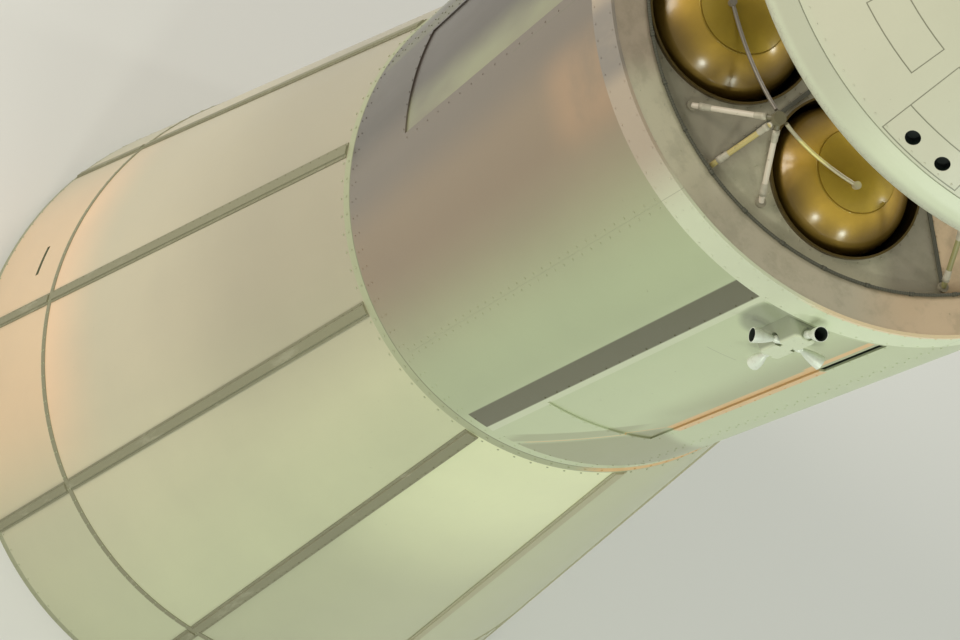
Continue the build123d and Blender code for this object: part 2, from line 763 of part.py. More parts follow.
# Main engine: a plate with two ears on the aft deck, a gimbal ring between the ears, the bell inside it
GIMBAL_Z = ADAPTER_H - GIMBAL_DROP
RING_INNER_R = GIMBAL_RING_R - GIMBAL_RING_T
EAR_INNER = GIMBAL_RING_R + GIMBAL_SIDE_GAP
MOUNT_PLATE_R = EAR_INNER + EAR_T + MOUNT_PLATE_EDGE
with BuildPart() as engine_mount:
    with BuildSketch(Plane.XY.offset(AFT_DECK_Z)):
        Circle(MOUNT_PLATE_R)
    extrude(amount=-MOUNT_PLATE_T)
    for side in (-1, 1):
        with BuildSketch(Plane.XZ.offset(-side * (EAR_INNER + EAR_T / 2))):
            with BuildLine():
                Polyline(
                    (EAR_W / 2, GIMBAL_Z),
                    (EAR_W, AFT_DECK_Z - MOUNT_PLATE_T),
                    (-EAR_W, AFT_DECK_Z - MOUNT_PLATE_T),
                    (-EAR_W / 2, GIMBAL_Z),
                )
                ThreePointArc((-EAR_W / 2, GIMBAL_Z), (0, GIMBAL_Z - EAR_W / 2), (EAR_W / 2, GIMBAL_Z))
            make_face()
        extrude(amount=EAR_T / 2, both=True)
        pin_start = Vector(0, side * (RING_INNER_R + GIMBAL_SIDE_GAP), GIMBAL_Z)
        rod(pin_start, Vector(0, side * (EAR_INNER + EAR_T / 2), GIMBAL_Z), GIMBAL_PIN_R)
keep(engine_mount, "engine_mount")

with BuildPart() as gimbal_ring:
    with BuildSketch(Plane.XY.offset(GIMBAL_Z)):
        Circle(GIMBAL_RING_R)
        Circle(RING_INNER_R, mode=Mode.SUBTRACT)
    extrude(amount=GIMBAL_RING_H / 2, both=True)
    for plane in (Plane.XZ, Plane.YZ):
        with BuildSketch(plane):
            with Locations((0, GIMBAL_Z)):
                Circle(GIMBAL_PIN_R + PIN_CLEARANCE)
        extrude(amount=GIMBAL_RING_R, both=True, mode=Mode.SUBTRACT)
keep(gimbal_ring, "gimbal_ring")

# Chamber, throat and bell, open at the exit, with the two trunnions
with BuildPart() as engine_bell:
    throat_z = GIMBAL_Z - THROAT_DROP
    exit_z = throat_z - BELL_LENGTH
    middle = ((THROAT_R + BELL_EXIT_R) / 2, (throat_z + exit_z) / 2)
    outer_middle = (middle[0] + BELL_BULGE, middle[1] + BELL_BULGE)
    with BuildSketch(radial_plane(0)):
        with BuildLine():
            Polyline(
                (0, GIMBAL_Z + CHAMBER_TOP),
                (CHAMBER_R, GIMBAL_Z + CHAMBER_TOP),
                (CHAMBER_R, GIMBAL_Z - CHAMBER_BELOW),
                (THROAT_R, throat_z),
            )
            ThreePointArc((THROAT_R, throat_z), outer_middle, (BELL_EXIT_R, exit_z + BELL_RIM))
            Polyline(
                (BELL_EXIT_R, exit_z + BELL_RIM),
                (BELL_EXIT_R, exit_z),
                (BELL_EXIT_R - BELL_WALL, exit_z),
            )
            inner_middle = (outer_middle[0] - BELL_WALL, outer_middle[1] - BELL_WALL)
            inner_throat = (THROAT_R - BELL_WALL, throat_z - BELL_WALL)
            ThreePointArc((BELL_EXIT_R - BELL_WALL, exit_z), inner_middle, inner_throat)
            Polyline(
                inner_throat,
                (0, throat_z - BELL_WALL),
                (0, GIMBAL_Z + CHAMBER_TOP),
            )
        make_face()
    revolve(axis=Axis.Z)
    for side in (-1, 1):
        pin_end = Vector(side * (GIMBAL_RING_R - GIMBAL_SIDE_GAP), 0, GIMBAL_Z)
        rod(Vector(0, 0, GIMBAL_Z), pin_end, GIMBAL_PIN_R)
keep(engine_bell, "engine_bell")

# Capsule heat shield: a dished shell with a rounded edge and a flat rim that the cabin stands on
DISH_CENTRE, DISH_TANGENT, DISH_POLE = dish_points(MODULE_R, CORNER_R, DISH_R)
RIM_R = capsule_r(SHIELD_TOP)
with BuildPart() as heat_shield:
    tilt = radians(CONE_ANGLE)
    pole = (0, EDGE_Z - DISH_POLE)
    tangent = (DISH_TANGENT[0], EDGE_Z - DISH_TANGENT[1])
    cone_start = (MODULE_R - CORNER_R + CORNER_R * cos(tilt), EDGE_Z + CORNER_R * sin(tilt))
    rim_inner = RIM_R - SHIELD_RIM_W
    inner_dish_r = DISH_R - SHIELD_T
    inner_corner = (rim_inner, EDGE_Z + DISH_CENTRE - sqrt(inner_dish_r ** 2 - rim_inner ** 2))
    with BuildSketch(radial_plane(0)):
        with BuildLine():
            RadiusArc(pole, tangent, -DISH_R)
            ThreePointArc(tangent, (MODULE_R, EDGE_Z), cone_start)
            Polyline(cone_start, (RIM_R, EDGE_Z + SHIELD_TOP), (rim_inner, EDGE_Z + SHIELD_TOP), inner_corner)
            RadiusArc(inner_corner, (0, pole[1] + SHIELD_T), inner_dish_r)
            Line((0, pole[1] + SHIELD_T), pole)
        make_face()
    revolve(axis=Axis.Z)
keep(heat_shield, "heat_shield")


def cabin_section():
    """Corners of the cabin wall's section, with the groove of the seam at its foot."""
    wall = CABIN_WALL / cos(radians(CONE_ANGLE))
    foot = SHIELD_TOP
    return (
        (capsule_r(foot) - wall, EDGE_Z + foot),
        (capsule_r(foot) - SEAM_DEPTH, EDGE_Z + foot),
        (capsule_r(foot + SEAM_W) - SEAM_DEPTH, EDGE_Z + foot + SEAM_W),
        (capsule_r(foot + SEAM_W), EDGE_Z + foot + SEAM_W),
        (capsule_r(CABIN_TOP), EDGE_Z + CABIN_TOP),
        (capsule_r(CABIN_TOP) - wall, EDGE_Z + CABIN_TOP),
    )


def hatch_outline(lift, gap):
    """Width, height and corner of the tapered hatch at a height off the wall, drawn in by a gap."""
    flare = lift * tan(radians(HATCH_TAPER)) - gap
    return HATCH_W + 2 * flare, HATCH_H + 2 * flare, HATCH_CORNER + flare


# Capsule cabin wall with its hatch opening, windows and thruster ports
with BuildPart() as cabin_shell:
    with BuildSketch(radial_plane(0)):
        Polygon(*cabin_section(), align=None)
    revolve(axis=Axis.Z)
    for lift in (-2 * CABIN_WALL, CABIN_WALL):
        with BuildSketch(capsule_plane(HATCH_AZ, HATCH_UP, lift)):
            RectangleRounded(*hatch_outline(lift, 0))
    loft(ruled=True, mode=Mode.SUBTRACT)
    for turn, up, width, height in WINDOWS:
        with BuildSketch(capsule_plane(HATCH_AZ + turn, up)):
            RectangleRounded(width, height, WINDOW_CORNER)
        extrude(amount=2 * CABIN_WALL, both=True, mode=Mode.SUBTRACT)
    for turn, up in PORT_PAIRS:
        with BuildSketch(capsule_plane(HATCH_AZ + turn, up, -PORT_DEPTH)):
            with GridLocations(PORT_SPACING, 0, 2, 1):
                Circle(PORT_R)
        extrude(amount=2 * PORT_DEPTH, mode=Mode.SUBTRACT)
keep(cabin_shell, "cabin_shell")

# Window panes, set in from the outer face
with BuildPart() as window_panes:
    for turn, up, width, height in WINDOWS:
        with BuildSketch(capsule_plane(HATCH_AZ + turn, up, -PANE_SET_IN - PANE_T)):
            pane_w = width - 2 * PANE_CLEARANCE
            pane_h = height - 2 * PANE_CLEARANCE
            RectangleRounded(pane_w, pane_h, WINDOW_CORNER - PANE_CLEARANCE)
        extrude(amount=PANE_T)
keep(window_panes, "window_panes")

# Side hatch: the piece of the wall that fills the opening, with two hinge arms and a window
HATCH_PLANE = capsule_plane(HATCH_AZ, HATCH_UP)
HINGE_X = -HATCH_W / 2 - HINGE_SIDE


def wall_drop(across, along=0):
    """Fall of the cone's surface below the hatch's plane, at a distance across and along it."""
    tilt = radians(CONE_ANGLE)
    curve = capsule_r(HATCH_UP + along * cos(tilt)) / cos(tilt)
    flatness = 1 - tan(tilt) ** 2
    return (curve - sqrt(curve ** 2 - flatness * across ** 2)) / flatness


# The hinge's axis lies where the lower arm clears the wall beside the opening
ARM_PLACES = (-HINGE_ARM_SPACING / 2, HINGE_ARM_SPACING / 2)
HINGE_N = HINGE_LIFT + HINGE_EYE_R - wall_drop(HATCH_W / 2 - HATCH_GAP, ARM_PLACES[0] - HINGE_ARM_W / 2)


def hinge_plane(along):
    """Plane across the hinge's axis, sketch x across the hatch and sketch y out of the wall."""
    origin = HATCH_PLANE.origin + HATCH_PLANE.y_dir * along
    return Plane(origin=origin, x_dir=HATCH_PLANE.x_dir, z_dir=-HATCH_PLANE.y_dir)


with BuildPart() as side_hatch:
    with BuildSketch(radial_plane(HATCH_AZ - QUARTER_TURN)):
        Polygon(*cabin_section(), align=None)
    revolve(axis=Axis.Z, revolution_arc=HALF_TURN)
    for lift in (-2 * CABIN_WALL, CABIN_WALL):
        with BuildSketch(capsule_plane(HATCH_AZ, HATCH_UP, lift)):
            RectangleRounded(*hatch_outline(lift, HATCH_GAP))
    loft(ruled=True, mode=Mode.INTERSECT)
    for along in ARM_PLACES:
        door_x = HINGE_X + HINGE_ARM_L
        edge_x = -HATCH_W / 2 + HATCH_GAP + HINGE_ARM_STEP
        with BuildSketch(hinge_plane(along)):
            with Locations((HINGE_X, HINGE_N)):
                Circle(HINGE_EYE_R)
            Polygon(
                (HINGE_X, HINGE_N + HINGE_EYE_R),
                (door_x, HINGE_EYE_R - wall_drop(door_x)),
                (door_x, -wall_drop(door_x) - HINGE_ARM_SINK),
                (edge_x, -wall_drop(edge_x) - HINGE_ARM_SINK),
                (edge_x - HINGE_ARM_STEP, HINGE_N - HINGE_EYE_R),
                (HINGE_X, HINGE_N - HINGE_EYE_R),
                align=None,
            )
        extrude(amount=HINGE_ARM_W / 2, both=True)
        with BuildSketch(hinge_plane(along)):
            with Locations((HINGE_X, HINGE_N)):
                Circle(HINGE_PIN_R + PIN_CLEARANCE)
        extrude(amount=HINGE_ARM_W, both=True, mode=Mode.SUBTRACT)
    with BuildSketch(HATCH_PLANE):
        RectangleRounded(HATCH_WINDOW, HATCH_WINDOW, WINDOW_CORNER)
    extrude(amount=2 * CABIN_WALL, both=True, mode=Mode.SUBTRACT)
keep(side_hatch, "side_hatch")

with BuildPart() as hatch_pane:
    with BuildSketch(HATCH_PLANE.offset(-PANE_SET_IN - PANE_T)):
        side = HATCH_WINDOW - 2 * PANE_CLEARANCE
        RectangleRounded(side, side, WINDOW_CORNER - PANE_CLEARANCE)
    extrude(amount=PANE_T)
keep(hatch_pane, "hatch_pane")

# Hatch hinge: two lugs and a pin at each arm
with BuildPart() as hatch_hinge:
    for along in ARM_PLACES:
        for side in (-1, 1):
            place = along + side * (HINGE_ARM_W + HINGE_LUG_W + 2 * HINGE_LUG_GAP) / 2
            foot_outer = HINGE_X - HINGE_FOOT_W
            foot_inner = HINGE_X + HINGE_LUG_GAP
            with BuildSketch(hinge_plane(place)):
                with Locations((HINGE_X, HINGE_N)):
                    Circle(HINGE_EYE_R)
                Polygon(
                    (HINGE_X, HINGE_N + HINGE_EYE_R),
                    (foot_outer, HINGE_FOOT_LIFT + HINGE_ARM_SINK - wall_drop(foot_outer, place)),
                    (foot_outer, HINGE_FOOT_LIFT - wall_drop(foot_outer, place)),
                    (foot_inner, HINGE_FOOT_LIFT - wall_drop(foot_inner, place)),
                    align=None,
                )
            extrude(amount=HINGE_LUG_W / 2, both=True)
        reach = (HINGE_ARM_W + HINGE_LUG_W) / 2 + HINGE_LUG_GAP
        with BuildSketch(hinge_plane(along)):
            with Locations((HINGE_X, HINGE_N)):
                Circle(HINGE_PIN_R)
        extrude(amount=reach, both=True)
keep(hatch_hinge, "hatch_hinge")

# Cabin floor on the heat shield's rim
SLANT_WALL = CABIN_WALL / cos(radians(CONE_ANGLE))
FLOOR_Z = EDGE_Z + SHIELD_TOP
with BuildPart() as cabin_floor:
    with BuildSketch(Plane.XY.offset(FLOOR_Z)):
        Circle(capsule_r(SHIELD_TOP + FLOOR_T) - SLANT_WALL - SKIN_CLEARANCE)
    extrude(amount=FLOOR_T)
keep(cabin_floor, "cabin_floor")

# Apex cover on the cabin wall's top, with a seam groove at its foot and a lip round the tunnel
ROOF_Z = EDGE_Z + CABIN_TOP
TUNNEL_OUTER_R = TUNNEL_BORE_R + TUNNEL_WALL
TUNNEL_SEAT_R = TUNNEL_BORE_R + TUNNEL_SEAT_W
DOCKING_RING_R = TUNNEL_OUTER_R + DOCKING_RING_W
APEX_TOP = round(capsule_up(TUNNEL_OUTER_R + COVER_LAND))
SLANT_COVER = COVER_WALL / cos(radians(CONE_ANGLE))
with BuildPart() as apex_cover:
    with BuildSketch(radial_plane(0)):
        Polygon(
            (capsule_r(CABIN_TOP) - SLANT_COVER, ROOF_Z),
            (capsule_r(CABIN_TOP) - SEAM_DEPTH, ROOF_Z),
            (capsule_r(CABIN_TOP + SEAM_W) - SEAM_DEPTH, ROOF_Z + SEAM_W),
            (capsule_r(CABIN_TOP + SEAM_W), ROOF_Z + SEAM_W),
            (capsule_r(APEX_TOP), EDGE_Z + APEX_TOP),
            (TUNNEL_OUTER_R + SKIN_CLEARANCE, EDGE_Z + APEX_TOP),
            (TUNNEL_OUTER_R + SKIN_CLEARANCE, EDGE_Z + APEX_TOP - COVER_LIP_H),
            (capsule_r(APEX_TOP - COVER_LIP_H) - SLANT_COVER, EDGE_Z + APEX_TOP - COVER_LIP_H),
            align=None,
        )
    revolve(axis=Axis.Z)
keep(apex_cover, "apex_cover")

# Cabin roof inside the cover's foot
with BuildPart() as cabin_roof:
    with BuildSketch(Plane.XY.offset(ROOF_Z)):
        Circle(capsule_r(CABIN_TOP + ROOF_T) - SLANT_COVER - SKIN_CLEARANCE)
        Circle(TUNNEL_OUTER_R + SKIN_CLEARANCE, mode=Mode.SUBTRACT)
    extrude(amount=ROOF_T)
keep(cabin_roof, "cabin_roof")

# Docking tunnel: flanged on the roof, with a ring at its mouth and a seat for its hatch at its foot
with BuildPart() as docking_tunnel:
    mouth = EDGE_Z + APEX_TOP + DOCKING_RING_H
    foot = ROOF_Z - TUNNEL_FOOT
    with BuildSketch(radial_plane(0)):
        Polygon(
            (TUNNEL_SEAT_R, foot),
            (TUNNEL_OUTER_R, foot),
            (TUNNEL_OUTER_R, ROOF_Z + ROOF_T),
            (TUNNEL_OUTER_R + TUNNEL_FLANGE_W, ROOF_Z + ROOF_T),
            (TUNNEL_OUTER_R + TUNNEL_FLANGE_W, ROOF_Z + ROOF_T + TUNNEL_FLANGE_T),
            (TUNNEL_OUTER_R, ROOF_Z + ROOF_T + TUNNEL_FLANGE_T),
            (TUNNEL_OUTER_R, EDGE_Z + APEX_TOP + COVER_LIP_H),
            (DOCKING_RING_R, EDGE_Z + APEX_TOP + COVER_LIP_H),
            (DOCKING_RING_R, mouth),
            (TUNNEL_BORE_R, mouth),
            (TUNNEL_BORE_R, foot + TUNNEL_HATCH_T),
            (TUNNEL_SEAT_R, foot + TUNNEL_HATCH_T),
            align=None,
        )
    revolve(axis=Axis.Z)
keep(docking_tunnel, "docking_tunnel")

# Hatch in the tunnel's foot: its rim meets the seat's shoulder, and its middle is dished
with BuildPart() as tunnel_hatch:
    hatch_top = ROOF_Z - TUNNEL_FOOT + TUNNEL_HATCH_T
    with BuildSketch(Plane.XY.offset(hatch_top)):
        Circle(TUNNEL_SEAT_R - SKIN_CLEARANCE)
    extrude(amount=-TUNNEL_HATCH_T)
    with BuildSketch(Plane.XY.offset(hatch_top)):
        Circle(TUNNEL_BORE_R + SKIN_CLEARANCE)
    extrude(amount=-TUNNEL_HATCH_DISH, mode=Mode.SUBTRACT)
keep(tunnel_hatch, "tunnel_hatch")

# Three crew couches side by side, heads towards the hatch, each bent from one sheet
with BuildPart() as crew_couches:
    for place in range(COUCH_COUNT):
        across = on_circle((place - (COUCH_COUNT - 1) / 2) * COUCH_PITCH, HATCH_AZ + QUARTER_TURN, EDGE_Z)
        with BuildSketch(radial_plane(HATCH_AZ, across)):
            with BuildLine():
                Polyline((COUCH_HEAD, COUCH_UP), (COUCH_HIP, COUCH_UP), COUCH_KNEE, COUCH_FOOT)
                offset(amount=COUCH_T / 2, kind=Kind.ARC, side=Side.BOTH)
            make_face()
        extrude(amount=COUCH_W / 2, both=True)
keep(crew_couches, "crew_couches")

# Frame under the couches: cross beams on four posts
with BuildPart() as couch_frame:
    beam_z = EDGE_Z + COUCH_UP - COUCH_T / 2
    deck = Plane(origin=(0, 0, beam_z), x_dir=on_circle(1, HATCH_AZ), z_dir=UPWARDS)
    beam_length = COUCH_PITCH * (COUCH_COUNT - 1) + COUCH_W
    with BuildSketch(deck):
        with Locations((COUCH_HEAD - FRAME_SPREAD - FRAME_BEAM, 0), (COUCH_HEAD - FRAME_BEAM, 0)):
            Rectangle(FRAME_BEAM, beam_length)
    extrude(amount=-FRAME_BEAM)
    with BuildSketch(deck.offset(-FRAME_BEAM)):
        for end in (COUCH_HEAD - FRAME_SPREAD - FRAME_BEAM, COUCH_HEAD - FRAME_BEAM):
            with Locations((end, -FRAME_POST_SPREAD / 2), (end, FRAME_POST_SPREAD / 2)):
                Rectangle(FRAME_BEAM, FRAME_BEAM)
    extrude(amount=-(beam_z - FRAME_BEAM - FLOOR_Z - FLOOR_T))
keep(couch_frame, "couch_frame")

# Instrument panel over the couches, hung from the roof on four posts
with BuildPart() as instrument_panel:
    deck = Plane(origin=(0, 0, EDGE_Z + PANEL_UP), x_dir=on_circle(1, HATCH_AZ), z_dir=UPWARDS)
    with BuildSketch(deck):
        RectangleRounded(*PANEL_SIZE, PANEL_CORNER)
    extrude(amount=PANEL_T)
    with BuildSketch(deck.offset(PANEL_T)):
        with GridLocations(PANEL_SIZE[0] - 2 * PANEL_POST, PANEL_POST_SPREAD, 2, 2):
            Rectangle(PANEL_POST, PANEL_POST)
    extrude(amount=CABIN_TOP - PANEL_UP - PANEL_T)
keep(instrument_panel, "instrument_panel")
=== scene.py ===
"""Crewed capsule ahead of its service module and adapter: finishes, fittings, light and view."""
from functools import reduce
from math import atan2, ceil, cos, degrees, exp, hypot, pi, radians, sin, sqrt, tan

import bpy
from mathutils import Matrix, Vector


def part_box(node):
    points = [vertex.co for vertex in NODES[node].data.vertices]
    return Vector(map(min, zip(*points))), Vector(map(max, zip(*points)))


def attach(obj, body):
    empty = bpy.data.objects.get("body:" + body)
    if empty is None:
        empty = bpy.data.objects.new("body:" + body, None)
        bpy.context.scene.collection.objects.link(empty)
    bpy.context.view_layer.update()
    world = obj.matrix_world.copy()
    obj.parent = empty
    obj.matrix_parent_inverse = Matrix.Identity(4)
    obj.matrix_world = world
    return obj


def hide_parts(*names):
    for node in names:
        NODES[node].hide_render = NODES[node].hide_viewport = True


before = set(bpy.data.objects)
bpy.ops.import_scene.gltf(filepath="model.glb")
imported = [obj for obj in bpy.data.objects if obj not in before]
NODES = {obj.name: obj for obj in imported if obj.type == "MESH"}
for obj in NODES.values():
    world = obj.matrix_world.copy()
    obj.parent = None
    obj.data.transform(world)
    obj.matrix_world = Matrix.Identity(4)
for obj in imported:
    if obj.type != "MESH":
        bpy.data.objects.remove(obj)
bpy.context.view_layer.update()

# Sizes read from the frame, in metres
AFT_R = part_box("adapter_aft_ring")[1].x
AFT_RING_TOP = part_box("adapter_aft_ring")[1].z
SPLIT_Z = (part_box("adapter_split_band")[0].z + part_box("adapter_split_band")[1].z) / 2
SPLIT_BAND_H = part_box("adapter_split_band")[1].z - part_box("adapter_split_band")[0].z
ADAPTER_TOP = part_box("adapter_forward_ring")[1].z
FORWARD_RING_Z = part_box("adapter_forward_ring")[0].z
MODULE_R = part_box("rim_band")[1].x
BAND_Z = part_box("rim_band")[0].z
RIM_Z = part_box("rim_band")[1].z
BASE_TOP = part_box("module_base_ring")[1].z
DECK_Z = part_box("beam_caps")[0].z
DOME_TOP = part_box("fuel_tank_near")[1].z
CLUSTER_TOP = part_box("thruster_panels")[1].z
CLUSTER_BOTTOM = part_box("thruster_panels")[0].z
SHIELD_TOP_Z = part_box("heat_shield")[1].z
ROOF_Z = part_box("cabin_shell")[1].z
BELL_EXIT_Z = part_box("engine_bell")[0].z
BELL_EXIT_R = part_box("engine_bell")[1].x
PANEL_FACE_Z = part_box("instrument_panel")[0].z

# Sizes that the frame doesn't give: the same values as the part's
GORE_COUNT = 10
GORE_ANGLE = 360 / GORE_COUNT
FIRST_SEAM = 27
COVER_W = 0.120
COVER_BASE_T = 0.006
DECK_EDGE_R = MODULE_R - 0.287
BEAMS = (4, 64, 114, 184, 244, 294)
APEX_R = DECK_EDGE_R - 0.378
APEX_Z = DECK_Z + 0.372
FOOT_R = DECK_EDGE_R - 0.050
SIDE_FOOT_R = DECK_EDGE_R - 0.138
SIDE_FOOT_TURN = 13
STRUT_R = 0.017
CLUSTERS = (38.5, 128.5, 218.5, 308.5)
CLUSTER_Z = RIM_Z - 0.555
NOZZLE_TILT = radians(12)
EDGE_UP = 0.143
EDGE_Z = SHIELD_TOP_Z - EDGE_UP
CORNER_R = 0.196
CONE = radians(32.8)
HATCH_AZ = 51.25
HATCH_UP = 0.830
HATCH_W = 0.740
HATCH_H = 0.860
HINGE_ARMS = (-0.23, 0.23)
HINGE_ARM_REACH = 0.09
HINGE_SIDE = -0.20
ADAPTER_SLOPE = (AFT_R - MODULE_R) / ADAPTER_TOP
ADAPTER_TILT = atan2(AFT_R - MODULE_R, ADAPTER_TOP)

# Tanks: azimuth, distance from the axis, radius, crown radius
TANKS = (
    (34, DECK_EDGE_R - 0.608, 0.460, 0.560),
    (-31, DECK_EDGE_R - 0.578, 0.510, 0.620),
    (214, DECK_EDGE_R - 0.608, 0.460, 0.560),
    (149, DECK_EDGE_R - 0.578, 0.510, 0.620),
)
TANK_GAP = 0.028
CAP_SHARE = 0.55

# Windows: azimuth from the hatch's middle, height above the edge, width, height
WINDOWS = (
    (-62, 1.010, 0.330, 0.330),
    (62, 1.010, 0.330, 0.330),
    (-32, 1.300, 0.190, 0.300),
    (32, 1.300, 0.190, 0.300),
)


# Places on the vehicle

def adapter_r(height):
    """Outer radius of the adapter at a height."""
    return AFT_R - ADAPTER_SLOPE * height


def capsule_r(up):
    """Outer radius of the capsule's cone at a height above its widest edge."""
    tangent_r = MODULE_R - CORNER_R + CORNER_R * cos(CONE)
    return tangent_r - (up - CORNER_R * sin(CONE)) * tan(CONE)


def on_circle(radius, azimuth, height=0.0):
    """Point at a distance from the vehicle's axis."""
    return Vector((radius * cos(radians(azimuth)), radius * sin(radians(azimuth)), height))


def outward_at(azimuth, tilt=0.0):
    """Direction away from the axis at an azimuth, tilted up by an angle."""
    return on_circle(cos(tilt), azimuth, sin(tilt))


def along_turn(azimuth):
    """Level direction round the axis at an azimuth."""
    return on_circle(1, azimuth + 90)


def all_round(count, first=0.5):
    """Evenly spaced azimuths, the first one a share of a step from 0."""
    return [(number + first) * 360 / count for number in range(count)]


def evenly(low, high, count):
    """Evenly spaced values from one end to the other."""
    return [low + (high - low) * number / (count - 1) for number in range(count)]


def centred(pitch, count):
    """Values at a pitch, with 0 in their middle."""
    return [(number - (count - 1) / 2) * pitch for number in range(count)]


def standing(point, outward, along):
    """Matrix of a fitting that stands on a surface: x along it, z out of it."""
    z = Vector(outward).normalized()
    y = z.cross(Vector(along)).normalized()
    x = y.cross(z)
    return Matrix.Translation(point) @ Matrix((x, y, z)).transposed().to_4x4()


def on_adapter(azimuth, height, lift, across=0.0):
    """Matrix of a fitting on the adapter's wall, a distance across from an azimuth."""
    outward = outward_at(azimuth, ADAPTER_TILT)
    along = along_turn(azimuth)
    wall = on_circle(adapter_r(height), azimuth, height)
    return standing(wall + outward * lift + along * across, outward, along)


def on_wall(azimuth, height):
    """Matrix of a fitting on the service module's wall."""
    place = on_circle(MODULE_R + SCREW_LIFT, azimuth, height)
    return standing(place, outward_at(azimuth), along_turn(azimuth))


def on_cone(azimuth, up, lift=0.0):
    """Matrix of a fitting on the capsule's cone: x along the turn, y up the cone, z out of it."""
    outward = outward_at(azimuth, CONE)
    place = on_circle(capsule_r(up), azimuth, EDGE_Z + up) + outward * lift
    return standing(place, outward, along_turn(azimuth))


# Shader sums

class Mark:
    """What a node gives out. Sums of marks add nodes: numbers through Math, vectors through Vector Math."""

    def __init__(self, finish, socket):
        self.finish = finish
        self.socket = socket

    def __add__(self, other):
        return combine("ADD", self, other)

    def __radd__(self, other):
        return combine("ADD", other, self)

    def __sub__(self, other):
        return combine("SUBTRACT", self, other)

    def __rsub__(self, other):
        return combine("SUBTRACT", other, self)

    def __mul__(self, other):
        return combine("MULTIPLY", self, other)

    def __rmul__(self, other):
        return combine("MULTIPLY", other, self)

    def __truediv__(self, other):
        return combine("DIVIDE", self, other)

    def __abs__(self):
        return combine("ABSOLUTE", self)

    def above(self, other, soft=0.001):
        """1 where this is more than a level, with a soft edge."""
        ends = {"interpolation_type": "SMOOTHSTEP"}
        return self.finish.node("ShaderNodeMapRange", ends, self - other, -soft / 2, soft / 2, 0.0, 1.0)

    def between(self, low, high, soft=0.001):
        """1 from one level to another, with soft edges."""
        middle = (low + high) / 2
        return 1 - abs(self - middle).above((high - low) / 2, soft)

    def repeat(self, step):
        """Distance from the nearest multiple of a step."""
        return combine("PINGPONG", self, step / 2)

    def either(self, other):
        """The larger of two marks."""
        return combine("MAXIMUM", self, other)


def combine(operation, *inputs):
    """One Math or Vector Math node on marks and numbers."""
    marks = [entry for entry in inputs if isinstance(entry, Mark)]
    vectors = [entry for entry in inputs if isinstance(entry, tuple)]
    several = vectors or any(mark.socket.type != "VALUE" for mark in marks)
    kind = "ShaderNodeVectorMath" if several else "ShaderNodeMath"
    return marks[0].finish.node(kind, {"operation": operation}, *inputs)


